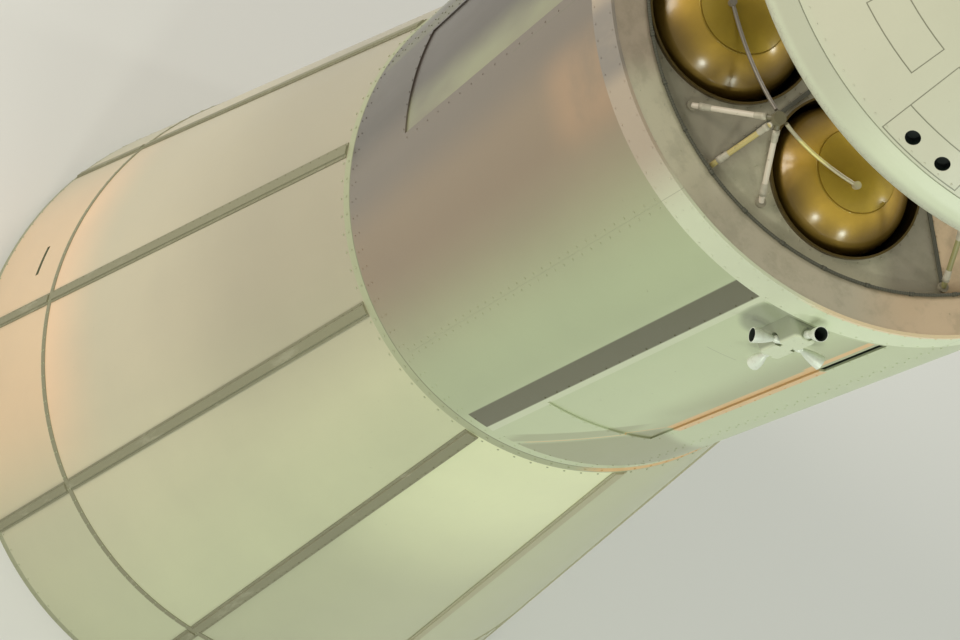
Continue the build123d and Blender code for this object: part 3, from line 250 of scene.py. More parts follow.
class Finish:
    """One material, built up from marks."""

    def __init__(self, name):
        self.material = bpy.data.materials.new(name)
        self.material.use_nodes = True
        self.tree = self.material.node_tree
        self.shader = self.tree.nodes["Principled BSDF"]
        self.place = self.node("ShaderNodeTexCoord", out="Object")
        self.facing = self.node("ShaderNodeTexCoord", out="Normal")
        self.x = self.node("ShaderNodeSeparateXYZ", {}, self.place, out="X")
        self.y = self.node("ShaderNodeSeparateXYZ", {}, self.place, out="Y")
        self.z = self.node("ShaderNodeSeparateXYZ", {}, self.place, out="Z")

    def node(self, kind, settings=None, *values, out=0, **named):
        """Any node: its settings first, then its sockets by order or by name."""
        made = self.tree.nodes.new(kind)
        for setting, value in (settings or {}).items():
            if setting == "stops":
                self.set_stops(made.color_ramp, value)
            else:
                setattr(made, setting, value)
        for number, value in enumerate(values):
            self.fill(made.inputs[number], value)
        for socket, value in named.items():
            self.fill(made.inputs[socket.replace("_", " ")], value)
        return Mark(self, made.outputs[out])

    def set_stops(self, ramp, stops):
        """Colour stops of a ramp: place and colour of each."""
        while len(ramp.elements) < len(stops):
            ramp.elements.new(1.0)
        for element, (at, colour) in zip(ramp.elements, stops):
            element.position = at
            element.color = (*colour, 1.0)

    def fill(self, socket, value):
        """Links a mark to a socket, or sets a plain value on it."""
        if isinstance(value, Mark):
            self.tree.links.new(value.socket, socket)
        elif socket.type == "VALUE":
            socket.default_value = value
        elif isinstance(value, tuple):
            socket.default_value = (*value, 1.0) if socket.type == "RGBA" else value
        else:
            socket.default_value = (value,) * len(socket.default_value)

    def radius(self):
        """Distance from the vehicle's axis."""
        return combine("POWER", self.x * self.x + self.y * self.y, 0.5)

    def azimuth(self, middle=0):
        """Azimuth in degrees, from 180 below a middle value to 180 above it."""
        turn = radians(middle)
        across = self.y * cos(turn) - self.x * sin(turn)
        along = self.x * cos(turn) + self.y * sin(turn)
        return combine("ARCTAN2", across, along) * (180 / pi) + middle

    def from_cluster(self):
        """Azimuth from the nearest thruster cluster's, in degrees."""
        pitch = CLUSTERS[1] - CLUSTERS[0]
        past_gap = self.azimuth(180) - CLUSTERS[0] + pitch / 2
        return combine("MODULO", past_gap + 360, pitch) - pitch / 2

    def fuel_side(self):
        """1 in the two quarters that hold the fuel tanks."""
        near = (self.azimuth(90) - BEAMS[0]).between(0, 90, 1.0)
        far = (self.azimuth(270) - BEAMS[3]).between(0, 90, 1.0)
        return near.either(far)

    def outwards(self):
        """How far a face looks away from the vehicle's axis, from -1 to 1."""
        flat = combine("MULTIPLY", self.place, (1.0, 1.0, 0.0))
        away = combine("NORMALIZE", flat)
        dot = {"operation": "DOT_PRODUCT"}
        return self.node("ShaderNodeVectorMath", dot, self.facing, away, out="Value")

    def under_cone(self):
        """Depth below the capsule's outer cone."""
        return capsule_r(0) - (self.z - EDGE_Z) * tan(CONE) - self.radius()

    def cloud(self, scale, detail=3.0, rough=0.55, up=1.0, across=1.0):
        """Even noise from 0 to 1: finer with a larger scale, drawn out up or across by a factor below 1."""
        spread = self.place * (1.0, across, up)
        return self.node("ShaderNodeTexNoise", {}, spread, Scale=scale, Detail=detail, Roughness=rough)

    def blend(self, mask, low, high):
        """Colour that goes from one to another with a mask."""
        made = self.tree.nodes.new("ShaderNodeMix")
        made.data_type = "RGBA"
        self.fill(made.inputs[0], mask)
        self.fill(made.inputs[6], low)
        self.fill(made.inputs[7], high)
        return Mark(self, made.outputs[2])

    def relief(self, height, depth):
        """Normal of a surface with a relief of a depth in metres."""
        return self.node("ShaderNodeBump", {}, Strength=1.0, Distance=depth, Height=height, out="Normal")

    def done(self, **sockets):
        """Sets the shader's own sockets and gives the material."""
        for socket, value in sockets.items():
            self.fill(self.shader.inputs[socket.replace("_", " ")], value)
        return self.material


# Paint colours
CREAM = (0.555, 0.495, 0.335)
MINT = (0.555, 0.570, 0.345)
ADAPTER_HIGHLIGHT = (0.93, 0.60, 0.35)
INSIDE_GREEN = (0.20, 0.21, 0.12)
COVER_GREY = (0.245, 0.235, 0.140)
COVER_PALE = (0.42, 0.395, 0.250)
COVER_SCUFF = (0.40, 0.38, 0.26)
RING_GREEN = (0.38, 0.40, 0.24)
BAY_MINT = (0.51, 0.565, 0.345)
BAY_DULL = (0.405, 0.455, 0.260)
PALE_MINT = (0.60, 0.63, 0.44)
STRIPE_BROWN = (0.090, 0.086, 0.034)
WALL_BROWN = (0.250, 0.180, 0.110)
WALL_SHADED = (0.165, 0.132, 0.098)
WALL_DEEP_SHADE = (0.055, 0.042, 0.032)
WALL_WARM_LIGHT = (0.375, 0.235, 0.130)
PANEL_SHADE = (0.320, 0.335, 0.180)
FOOT_SHADE = (0.265, 0.260, 0.140)
SHADOW_GREEN = (0.26, 0.280, 0.175)
WARM_HIGHLIGHT = (0.72, 0.44, 0.18)
DECK_GREY = (0.285, 0.255, 0.185)
DECK_LIT = (0.46, 0.43, 0.305)
DECK_WARM_LIGHT = (0.62, 0.46, 0.29)
LEDGE_GREY = (0.455, 0.405, 0.290)
LEDGE_PALE = (0.565, 0.515, 0.360)
DARK_LINE = (0.045, 0.043, 0.030)
GOLD = (0.46, 0.285, 0.028)
GOLD_BROWNED = (0.33, 0.205, 0.022)
CAP_GOLD = (0.38, 0.255, 0.022)
CAP_BROWNED = (0.24, 0.150, 0.012)
LIP_GOLD = (0.19, 0.142, 0.040)
LIP_BROWNED = (0.11, 0.075, 0.018)
CAPSULE_CREAM = (0.57, 0.555, 0.410)
CAPSULE_MINT = (0.55, 0.575, 0.410)
EDGE_SHADED = (0.485, 0.488, 0.355)
EDGE_LIT = (0.66, 0.70, 0.50)
RIM_WARM_LIGHT = (0.80, 0.62, 0.38)
RIM_HIGHLIGHT = (0.69, 0.75, 0.52)
RIM_SHADE = (0.41, 0.325, 0.235)
RIM_SHADOW = (0.185, 0.168, 0.150)
SEAM_OLIVE = (0.13, 0.125, 0.070)
SOOT_AND_RECESS_SHADE = (0.008, 0.016, 0.010)

# Spans of azimuth that a tone covers, in degrees
SUNNY_SIDE = (-150, -2)
HIGHLIGHT_FOOT_SIDE = (-76, -16)
SHADED_TOP_SIDE = (-100, -4)
PALE_COVERS = (54, 110)
LIT_LIP_SPAN = (55, 125)
BROWN_SHADED_SIDE = (-80, 0)
SHADED_WALL_PAST = -27
DEEP_SHADE_PAST = -41
WARM_LIT_WALL = (-27, -13)
DULL_MINT_WALL = (-10, 24)
BASE_SHADE_SIDE = (30, 76)
PAST_SLANT_SIDE = (33, 47)
LIT_RIM = (34, 110)
SHADED_RIM_SIDE = (-88, 2)
SHADOWED_RIM = (-31, -18)
LIT_DECK = (7, 50)
WARM_LIT_DECK = (BEAMS[1], 128)
WARM_LIT_LEDGE = (47, 128)
PALE_LEDGE = (-100, 6)
SHADED_LEDGE = (-100, -18)
LIT_EDGE = (10, 250)

# Heights at which a tone sets in, in metres
HIGHLIGHT_FOOT_TOP = 2.75
SHADED_FROM = 5.6
HIGHLIGHT_FROM = 6.2
WARM_LIT_RISE = (12.35, 13.25)

# Marks beside each thruster cluster: degrees from its azimuth
STRIPE_SPAN = (-15.9, -10.9)
STRIP_SPAN = (-10.9, -9.3)
RECESS_SPAN = (-9.9, 14.1)
HAIR_LINE_SPAN = (-5.5, 0.8)
HAIR_LINE_DROP = 0.777

# Painted warm highlight on the edge beside the near cluster's panel and its slot, and on the slant that it
# turns into
WARM_HIGHLIGHT_SPAN = (51.0, 54.2)
WARM_HIGHLIGHT_RISE = (10.15, 12.28)
SLOT_EDGE_SPAN = (50.4, 51.7)
SLOT_EDGE_RISE = (12.20, 13.05)
SLANT_START = 36.0
SLANT = 0.0915
FAR_SLANT = -0.042

# Upright hair line on the brown wall
WALL_LINE_SPAN = (-35.6, -35.4)
WALL_LINE_RISE = (11.85, 12.95)


def worn_paint(finish, colour, roughness, chips, grain=0.00025):
    """Sockets of brushed-on paint: clouded, dusty and chipped, with roughness and grain to match."""
    cloud = finish.cloud(0.8, 4.0)
    streak = finish.cloud(2.4, 5.0, 0.6, up=0.10)
    shade = 0.86 + 0.16 * cloud + 0.10 * streak + 0.03 * finish.cloud(60.0, 3.0)
    speck = finish.cloud(26.0, 6.0, 0.7).above(0.73 - chips, 0.02)
    height = finish.cloud(140.0, 2.0) + 0.8 * finish.cloud(11.0, 2.0) - 1.5 * speck
    return {
        "Base_Color": finish.blend(speck * 0.5, colour * shade, COVER_GREY),
        "Roughness": roughness + 0.16 * (streak - 0.5) + 0.10 * (cloud - 0.5),
        "Normal": finish.relief(height, grain),
    }


def gore_mask(turn, number):
    """1 on the wall between the seams of one of the adapter's gores."""
    seam = FIRST_SEAM + number * GORE_ANGLE
    return turn.between(seam + 1, seam + GORE_ANGLE - 1, 2.0)


def adapter_paint():
    """Gloss paint outside the adapter's panels with painted light and shade over it, green primer inside and
    in the cable slot.
    """
    paint = Finish("adapter_white")
    turn = paint.azimuth()
    # Mint turning to cream on the sunny side is painted light: warm on that side, greenish elsewhere.
    colour = paint.blend(turn.between(*SUNNY_SIDE, 56.0), MINT, CREAM)
    # Painted warm highlight low on the adapter's foot.
    foot_highlight = (HIGHLIGHT_FOOT_TOP - paint.z).above(0, 1.8) * turn.between(*HIGHLIGHT_FOOT_SIDE, 26.0)
    colour = paint.blend(foot_highlight * 0.8, colour, ADAPTER_HIGHLIGHT)
    # Painted shade high on the shaded side, a painted highlight high on one gore with painted shade low on
    # it, and painted shade over the next gore.
    shaded_top = paint.z.above(SHADED_FROM, 3.2) * turn.between(*SHADED_TOP_SIDE, 24.0)
    bright = gore_mask(turn, 0) * (0.50 * paint.z.above(HIGHLIGHT_FROM, 3.0) - 0.17)
    colour = colour * (1 - 0.27 * shaded_top - 0.14 * gore_mask(turn, 1) + bright)
    below_split = (SPLIT_Z - paint.z).above(0, 0.02)
    colour = paint.blend(below_split * 0.25, colour, RING_GREEN)
    by_cover = (turn - FIRST_SEAM + 360).repeat(GORE_ANGLE).between(-1.6, 1.6, 0.8)
    colour = paint.blend(by_cover * 0.18, colour, COVER_GREY)
    inside = (0 - paint.outwards()).above(-0.5, 0.1)
    colour = paint.blend(inside, colour, INSIDE_GREEN)
    return paint.done(**worn_paint(paint, colour, 0.36, 0.03), Coat_Weight=0.25, Coat_Roughness=0.18)


def cover_paint():
    """Dull grey-brown paint on the seam covers and the split band, paler on one side."""
    paint = Finish("seam_cover")
    base = paint.blend(paint.azimuth().between(*PALE_COVERS, 12.0), COVER_GREY, COVER_PALE)
    scuff = paint.cloud(6.0, 6.0, 0.7, up=0.15).above(0.60, 0.12)
    colour = paint.blend(scuff * 0.45, base, COVER_SCUFF)
    return paint.done(**worn_paint(paint, colour, 0.56, 0.06))


def ring_paint():
    """Satin pale green paint on the adapter's two rings, with a painted warm highlight along one side of the
    forward lip.
    """
    paint = Finish("ring_paint")
    foot = (AFT_RING_TOP - paint.z).above(0, 0.02)
    colour = paint.blend(foot * 0.45, RING_GREEN, COVER_GREY)
    lip = abs(paint.z - ADAPTER_TOP).between(0.0, 0.012, 0.006)
    colour = paint.blend(lip * 0.5, colour, DARK_LINE)
    # Painted warm highlight along one side of the forward lip.
    warm_light = paint.z.above(ADAPTER_TOP - 0.085, 0.012) * paint.azimuth().between(*LIT_LIP_SPAN, 9.0)
    colour = paint.blend(warm_light * 0.9, colour, WARM_HIGHLIGHT)
    return paint.done(**worn_paint(paint, colour, 0.44, 0.08))


def bay_paint():
    """Gloss paint on the service module: mint, brown before the first beam partly darkened by painted shade,
    striped beside each cluster, with painted shadows, shade and highlights.
    """
    paint = Finish("bay_paint")
    turn = paint.azimuth(45)
    step = paint.from_cluster()
    depth = MODULE_R - paint.radius()
    tall = paint.z.above(BASE_TOP + 0.02, 0.01)
    # Brown on this side is partly the panels' own tone and partly painted shade.
    brown_shaded = turn.between(*BROWN_SHADED_SIDE, 30.0)
    mint = paint.blend(turn.between(*DULL_MINT_WALL, 8.0), BAY_MINT, BAY_DULL)
    colour = paint.blend(brown_shaded, mint, brown_and_shaded_wall(paint, turn))
    strip = step.between(*STRIP_SPAN, 0.12) * tall
    colour = paint.blend(strip * (1 - brown_shaded) * 0.85, colour, PALE_MINT)
    colour = paint.blend(step.between(*STRIPE_SPAN, 0.35) * tall, colour, STRIPE_BROWN)
    recess = depth.above(0.006, 0.004)
    colour = paint.blend(recess * recess_shade(paint, step) * 0.75, colour, PANEL_SHADE)
    # Painted shadow of each thruster housing on the wall beside it.
    colour = paint.blend(housing_shadow(paint, step) * 0.90, colour, SHADOW_GREEN)
    colour = paint.blend(base_shade(paint, turn) * tall * 0.75, colour, FOOT_SHADE)
    # Painted warm highlight on the edge by the near cluster and on the slant below it.
    colour = paint.blend(bright_edge(paint, turn), colour, WARM_HIGHLIGHT)
    # Painted shade deep in the slot and behind the wall.
    colour = paint.blend(depth.above(0.014, 0.003), colour, SOOT_AND_RECESS_SHADE)
    colour = paint.blend(hair_lines(paint, turn, step) * 0.55, colour, SEAM_OLIVE)
    return paint.done(**worn_paint(paint, colour, 0.34, 0.04), Coat_Weight=0.2, Coat_Roughness=0.2)


def brown_and_shaded_wall(paint, turn):
    """Brown of the wall's dull side, partly its own tone and partly painted shade, with painted shade
    deepening in two steps round it and a painted patch of warm light in one place.
    """
    # Painted shade, deepening in two steps round the wall.
    wall = paint.blend((SHADED_WALL_PAST - turn).above(0, 12.0), WALL_BROWN, WALL_SHADED)
    wall = paint.blend((DEEP_SHADE_PAST - turn).above(0, 10.0) * 0.9, wall, WALL_DEEP_SHADE)
    # Painted patch of warm light high on the wall.
    warm_light_patch = turn.between(*WARM_LIT_WALL, 9.0) * paint.z.between(*WARM_LIT_RISE, 0.5)
    return paint.blend(warm_light_patch * paint.cloud(2.2, 4.0).above(0.36, 0.4) * 0.8, wall, WALL_WARM_LIGHT)


def recess_shade(paint, step):
    """Uneven shade along one side of the recess round each cluster's panel."""
    around = step.between(*RECESS_SPAN, 0.2) * paint.z.between(CLUSTER_BOTTOM, CLUSTER_TOP, 0.02)
    return around * step.above(7.5, 9.0) * paint.cloud(1.4, 3.0, 0.5, up=0.4).above(0.40, 0.35)


def housing_shadow(paint, step):
    """Soft oval painted shadow of the housing on the wall beside each thruster cluster."""
    across = (step + 4.8) / 4.4
    ahead = (paint.z - CLUSTER_Z - 0.08) / 0.31
    return (1.1 - across * across - ahead * ahead).above(0.0, 0.7)


def base_shade(paint, turn):
    """Grey-green shading from the slanting edge to the module's foot, fainter just past the edge."""
    beyond = turn - WARM_HIGHLIGHT_SPAN[0]
    edge = WARM_HIGHLIGHT_RISE[0] + combine("MINIMUM", beyond * SLANT, beyond * FAR_SLANT)
    below = (edge - paint.z).above(0.05, 0.20) * turn.between(*BASE_SHADE_SIDE, 18.0)
    past = (paint.z - edge).between(0.04, 0.36, 0.05) * turn.between(*PAST_SLANT_SIDE, 3.0)
    return below.either(past * 0.7)


def bright_edge(paint, turn):
    """Light on the edge beside the near cluster's panel and slot, and on the slant below them."""
    near = turn.between(*WARM_HIGHLIGHT_SPAN, 0.35) * paint.z.between(*WARM_HIGHLIGHT_RISE, 0.05)
    near = near.either(turn.between(*SLOT_EDGE_SPAN, 0.3) * paint.z.between(*SLOT_EDGE_RISE, 0.05))
    slant = WARM_HIGHLIGHT_RISE[0] + (turn - WARM_HIGHLIGHT_SPAN[0]) * SLANT
    foot = abs(paint.z - slant).between(0, 0.016, 0.012) * turn.between(SLANT_START, WARM_HIGHLIGHT_SPAN[0], 1.0)
    return (near * 0.95).either(foot * 0.8)


def hair_lines(paint, turn, step):
    """Fine joints: one across each cluster's panel and one up the brown wall."""
    across = abs(paint.z - CLUSTER_Z + HAIR_LINE_DROP).between(0, 0.003, 0.003)
    upright = turn.between(*WALL_LINE_SPAN, 0.05) * paint.z.between(*WALL_LINE_RISE, 0.02)
    return (across * step.between(*HAIR_LINE_SPAN, 0.1)).either(upright)


def rim_paint():
    """Satin white on the band round the module's rim, with a painted highlight and warm light on one side,
    painted shade and a painted shadow on the other.
    """
    paint = Finish("rim_white")
    turn = paint.azimuth()
    # Painted highlight on the lit side, and painted warm light along its top.
    colour = paint.blend(turn.between(*LIT_RIM, 12.0), PALE_MINT, RIM_HIGHLIGHT)
    warm_light_top = paint.z.above(RIM_Z - 0.026, 0.006) * turn.between(*LIT_RIM, 10.0)
    colour = paint.blend(warm_light_top * 0.9, colour, RIM_WARM_LIGHT)
    # Painted shade on the other side, and a painted shadow across part of it.
    colour = paint.blend(turn.between(*SHADED_RIM_SIDE, 16.0), colour, RIM_SHADE)
    smear = turn.between(*SHADOWED_RIM, 4.0) * paint.cloud(3.0, 4.0, 0.6, up=0.3).above(0.38, 0.3)
    colour = paint.blend(smear * 0.75, colour, RIM_SHADOW)
    joint = (paint.azimuth(180) - BEAMS[0]).repeat(60.0).between(-0.06, 0.06, 0.03)
    colour = paint.blend(joint * 0.4, colour, SEAM_OLIVE)
    return paint.done(**worn_paint(paint, colour, 0.40, 0.05), Coat_Weight=0.15, Coat_Roughness=0.25)


def deck_paint():
    """Matt grey on the forward deck and its ledge, with painted light on one side, painted warm light beyond
    the second beam, painted shade on part of the ledge, and dusty stains.
    """
    paint = Finish("deck_grey")
    turn = paint.azimuth()
    ledge = paint.radius().above(DECK_EDGE_R, 0.004)
    # Painted light on one side of the deck.
    floor = paint.blend(turn.between(*LIT_DECK, 7.0), DECK_GREY, DECK_LIT)
    colour = paint.blend(ledge, floor, LEDGE_GREY)
    colour = paint.blend(ledge * turn.between(*PALE_LEDGE, 14.0), colour, LEDGE_PALE)
    # Painted shade on part of the ledge.
    colour = paint.blend(ledge * turn.between(*SHADED_LEDGE, 8.0), colour, RIM_SHADE)
    # Painted warm light beyond the second beam and on the ledge.
    warm_light = turn.between(*WARM_LIT_DECK, 1.2) * (1 - ledge)
    warm_light = warm_light.either(ledge * turn.between(*WARM_LIT_LEDGE, 14.0) * 0.85)
    colour = paint.blend(warm_light, colour, DECK_WARM_LIGHT)
    ledge_foot = ledge * (DECK_Z + 0.055 - paint.z).above(0, 0.01)
    colour = paint.blend(ledge_foot * 0.8, colour, DARK_LINE)
    stain = paint.cloud(5.5, 6.0, 0.65).above(0.56, 0.20)
    colour = paint.blend(stain * 0.22, colour, SEAM_OLIVE)
    return paint.done(**worn_paint(paint, colour, 0.66, 0.05, grain=0.0006))


def strip_paint():
    """Dull dark finish of the beam caps and of the wrapped harness round the deck."""
    paint = Finish("dark_strip")
    dark = (0.070, 0.068, 0.046)
    worn = (0.14, 0.13, 0.085)
    wrap = paint.azimuth(180).repeat(0.55).above(0.14, 0.06)
    look = worn_paint(paint, paint.blend(wrap * 0.35, dark, worn), 0.62, 0.03)
    look["Normal"] = paint.relief(wrap, 0.0015)
    return paint.done(**look)


def tank_gold(name, base, browned):
    """Polished gold-anodised metal with painted shade towards the lip, fine turning marks and soft stains.
    """
    metal = Finish(name)
    lip_shade = (0.10, 0.060, 0.014)
    stain = metal.cloud(5.0, 5.0, 0.6).above(0.52, 0.25)
    colour = metal.blend(stain * 0.35, base, browned) * (1 + 0.26 * metal.fuel_side())
    # Painted shade darkening the metal towards the lip.
    lip_shade_mask = (DECK_Z + 0.085 - metal.z).above(0, 0.13)
    colour = metal.blend(lip_shade_mask * 0.75, colour, lip_shade)
    scratch = metal.cloud(220.0, 2.0, 0.5, up=6.0)
    return metal.done(
        Base_Color=colour,
        Metallic=0.80,
        Roughness=0.34 + 0.16 * metal.cloud(3.2, 4.0) + 0.08 * stain,
        Normal=metal.relief(scratch + 3.0 * metal.cloud(2.6, 2.0), 0.0005),
        Coat_Weight=0.8,
        Coat_Roughness=0.19,
    )


def pipe_metal():
    """Tank pipes: grey, the fuel tanks' paler with a bright yellow length of lagging in the middle."""
    metal = Finish("pipe_metal")
    grey = (0.20, 0.175, 0.140)
    pale = (0.46, 0.41, 0.27)
    yellow = (0.78, 0.69, 0.25)
    fuel = metal.fuel_side()
    lagged = metal.z.between(DOME_TOP + 0.035, DOME_TOP + 0.105, 0.02) * fuel
    colour = metal.blend(lagged * 0.85, metal.blend(fuel, grey, pale), yellow)
    band = metal.cloud(45.0, 3.0, 0.6, up=2.0)
    return metal.done(
        Base_Color=colour * (0.85 + 0.3 * band),
        Metallic=0.35,
        Roughness=0.34 + 0.15 * band,
        Normal=metal.relief(band, 0.0006),
    )


def strut_paint(beam):
    """Pinkish white on the side struts, yellow on the radial one, bare at the pads."""
    paint = Finish(f"strut_white_{beam}")
    pinkish = (0.62, 0.545, 0.43)
    yellow = (0.46, 0.37, 0.13) if beam != BEAMS[1] else (0.26, 0.24, 0.10)
    hub_olive = (0.135, 0.120, 0.065)
    turn = radians(beam)
    radius = paint.radius()
    off_plane = abs(paint.y * cos(turn) - paint.x * sin(turn))
    radial = (0.0185 - off_plane).above(0, 0.001) * radius.above(APEX_R + 0.05, 0.01)
    colour = paint.blend(radial, pinkish, yellow)
    pad = (DECK_Z + 0.023 - paint.z).above(0, 0.002)
    colour = paint.blend(pad, colour, DECK_GREY)
    hub = (APEX_R + 0.044 - radius).above(0, 0.004)
    colour = paint.blend(hub * 0.95, colour, hub_olive)
    return paint.done(**worn_paint(paint, colour, 0.42, 0.07, grain=0.0004))


def housing_paint():
    """Satin pale green on the thruster housings, with painted shade low down and painted light at one
    corner.
    """
    paint = Finish("housing_paint")
    shaded_low_green = (0.30, 0.325, 0.215)
    top_green = (0.62, 0.66, 0.47)
    lit_corner_green = (0.55, 0.60, 0.42)
    high = paint.radius().above(MODULE_R + 0.074, 0.016)
    # Painted shade on the low faces, paler on the high ones.
    colour = paint.blend(high, shaded_low_green, top_green)
    # Painted light on one lower corner.
    corner = paint.from_cluster().above(1.5, 1.2) * (CLUSTER_Z - paint.z).above(-0.10, 0.05)
    colour = paint.blend(corner * (1 - high) * 0.9, colour, lit_corner_green)
    return paint.done(**worn_paint(paint, colour, 0.40, 0.08, grain=0.0004))


def nozzle_white():
    """Bright satin metal of the thruster nozzles, browned in patches."""
    metal = Finish("nozzle_white")
    bright = (0.74, 0.78, 0.66)
    browned = (0.45, 0.42, 0.32)
    patch = metal.cloud(30.0, 4.0, 0.6).above(0.55, 0.25)
    return metal.done(
        Base_Color=metal.blend(patch * 0.25, bright, browned),
        Metallic=0.15,
        Roughness=0.30 + 0.15 * patch,
        Normal=metal.relief(metal.cloud(400.0, 2.0), 0.0002),
    )


def liner_soot():
    """Soot inside the thruster nozzles."""
    soot = Finish("nozzle_soot")
    cloud = soot.cloud(50.0, 4.0)
    colour = soot.blend(cloud, SOOT_AND_RECESS_SHADE, (0.03, 0.04, 0.028))
    return soot.done(Base_Color=colour, Roughness=0.6 + 0.3 * cloud, Normal=soot.relief(cloud, 0.0006))


def bare_metal():
    """Machined alloy of the engine mount, gimbal ring, hinge, tunnel and couch frame."""
    metal = Finish("bare_structure")
    dark = (0.40, 0.39, 0.34)
    pale = (0.58, 0.57, 0.51)
    turning_marks = metal.cloud(90.0, 3.0, 0.6, up=0.08)
    dull = metal.cloud(4.0, 5.0, 0.6)
    return metal.done(
        Base_Color=metal.blend(dull, dark, pale),
        Metallic=0.85,
        Roughness=0.34 + 0.20 * dull + 0.08 * turning_marks,
        Normal=metal.relief(turning_marks, 0.0004),
    )


# Heat tints of the engine bell, from its exit to its root
HEAT_TINTS = (
    (0.0, (0.20, 0.19, 0.18)),
    (0.30, (0.30, 0.27, 0.22)),
    (0.55, (0.34, 0.25, 0.13)),
    (0.72, (0.22, 0.13, 0.12)),
    (0.85, (0.12, 0.13, 0.18)),
    (1.0, (0.28, 0.27, 0.26)),
)


def bell_metal():
    """Heat-stained engine bell: straw and blue bands outside, soot inside, fine ribs down its length."""
    metal = Finish("bell_metal")
    soot = (0.045, 0.042, 0.038)
    height = (metal.z - BELL_EXIT_Z) / (ADAPTER_TOP - BELL_EXIT_Z)
    wander = height + 0.10 * (metal.cloud(2.0, 4.0) - 0.5)
    colour = metal.node("ShaderNodeValToRGB", {"stops": HEAT_TINTS}, wander, out="Color")
    inside = (0 - metal.outwards()).above(0, 0.2)
    colour = metal.blend(inside * 0.85, colour, soot)
    ribs = metal.azimuth().repeat(2.0)
    smear = metal.cloud(9.0, 5.0, 0.6, up=0.2)
    return metal.done(
        Base_Color=colour * (0.8 + 0.4 * smear),
        Metallic=0.85,
        Roughness=0.32 + 0.25 * smear + 0.2 * inside,
        Normal=metal.relief(ribs + 0.3 * smear, 0.0025),
    )


# Panel joints on the capsule's wall: a row's lower and upper height, and the azimuths that its panels span
JOINT_ROWS = (
    ((15.24, 15.40), ((11.9, 27), (36, 60), (68, 92), (116, 140), (176, 200), (236, 260), (296, 320))),
    ((15.40, 15.67), ((11.9, 27),)),
    ((15.495, 15.67), ((-32, -9), (-5.9, 7.8), (148, 168), (206, 226), (268, 288))),
    ((15.50, 15.70), ((88, 104),)),
)
JOINT_W = 0.0055


def panel_joint(paint, turn, rise, span):
    """1 along the outline of one panel."""
    half_w = JOINT_W / 2
    half_turn = degrees(half_w / capsule_r(rise[0] - EDGE_Z))

    def patch(side):
        """The panel's field, grown or shrunk by half the joint."""
        wide = turn.between(span[0] - side * half_turn, span[1] + side * half_turn, half_turn / 2)
        return wide * paint.z.between(rise[0] - side * half_w, rise[1] + side * half_w, half_w / 2)

    return patch(1) * (1 - patch(-1))


def capsule_paint():
    """Gloss cream on the capsule, mint towards its edge, with grooved panel joints and painted shade in its
    recesses.
    """
    paint = Finish("capsule_white")
    cabin_grey = (0.27, 0.29, 0.27)
    turn = paint.azimuth(130)
    depth = paint.under_cone()
    edge = (EDGE_Z + 0.155 - paint.z).above(0, 0.10)
    colour = paint.blend(edge * 0.9, CAPSULE_CREAM, CAPSULE_MINT)
    hole = depth.above(0.0045, 0.002)
    outlines = [panel_joint(paint, turn, rise, span) for rise, spans in JOINT_ROWS for span in spans]
    joints = reduce(Mark.either, outlines) * (1 - hole)
    colour = paint.blend(joints * 0.75, colour, SEAM_OLIVE)
    # Painted shade in the capsule's recesses.
    colour = paint.blend(hole, colour, SOOT_AND_RECESS_SHADE)
    cabin = depth.above(0.132, 0.004) * (paint.z - EDGE_Z - 0.15).above(0, 0.01)
    colour = paint.blend(cabin, colour, cabin_grey)
    look = worn_paint(paint, colour, 0.36, 0.03)
    look["Normal"] = paint.relief(paint.cloud(120.0, 2.0) * 0.15 - joints, 0.0016)
    return paint.done(**look, Coat_Weight=0.22, Coat_Roughness=0.2)


def shield_paint():
    """Cream on the heat shield's rounded edge and a faint honeycomb under the paint of its dish."""
    paint = Finish("shield_white")
    dish_cream = (0.42, 0.40, 0.30)
    top = paint.z.above(EDGE_Z + 0.02, 0.05)
    edge_tone = paint.blend(paint.azimuth(130).between(*LIT_EDGE, 24.0), EDGE_SHADED, EDGE_LIT)
    colour = paint.blend(top, CAPSULE_MINT, edge_tone)
    under = (EDGE_Z - paint.z).above(0.02, 0.10)
    colour = paint.blend(under * 0.5, colour, dish_cream)
    cell_settings = {"feature": "DISTANCE_TO_EDGE"}
    cell = paint.node("ShaderNodeTexVoronoi", cell_settings, paint.place, Scale=26.0, out="Distance")
    walls = (0.035 - cell).above(0, 0.03)
    colour = paint.blend(under * walls * 0.35, colour, SEAM_OLIVE)
    look = worn_paint(paint, colour, 0.42, 0.03)
    look["Normal"] = paint.relief(walls * under * -1.0 + 0.2 * paint.cloud(90.0, 2.0), 0.0009)
    return paint.done(**look, Coat_Weight=0.15, Coat_Roughness=0.25)


def cover_cream():
    """Cream on the apex cover, with four upright panel joints and a level one."""
    paint = Finish("cover_white")
    dark_groove = (0.05, 0.05, 0.035)
    upright = (paint.azimuth(180) - HATCH_AZ + 45).repeat(90.0).between(-0.35, 0.35, 0.15)
    level = abs(paint.z - ROOF_Z - 0.22).between(0, 0.003, 0.002)
    lines = upright.either(level)
    colour = paint.blend(lines * 0.7, CAPSULE_CREAM, SEAM_OLIVE)
    colour = paint.blend(paint.under_cone().above(0.006, 0.003), colour, dark_groove)
    look = worn_paint(paint, colour, 0.38, 0.04)
    look["Normal"] = paint.relief(0.15 * paint.cloud(120.0, 2.0) - lines, 0.0014)
    return paint.done(**look, Coat_Weight=0.2, Coat_Roughness=0.2)


def window_glass():
    """Tinted window panes with faint smears."""
    glass = Finish("window_glass")
    tint = (0.20, 0.24, 0.24)
    smeared = (0.30, 0.34, 0.33)
    smear = glass.cloud(8.0, 5.0, 0.6, across=0.4)
    return glass.done(
        Base_Color=glass.blend(smear, tint, smeared),
        Roughness=0.05 + 0.07 * smear,
        Transmission_Weight=0.75,
        IOR=1.45,
        Coat_Weight=0.5,
        Coat_Roughness=0.03,
    )


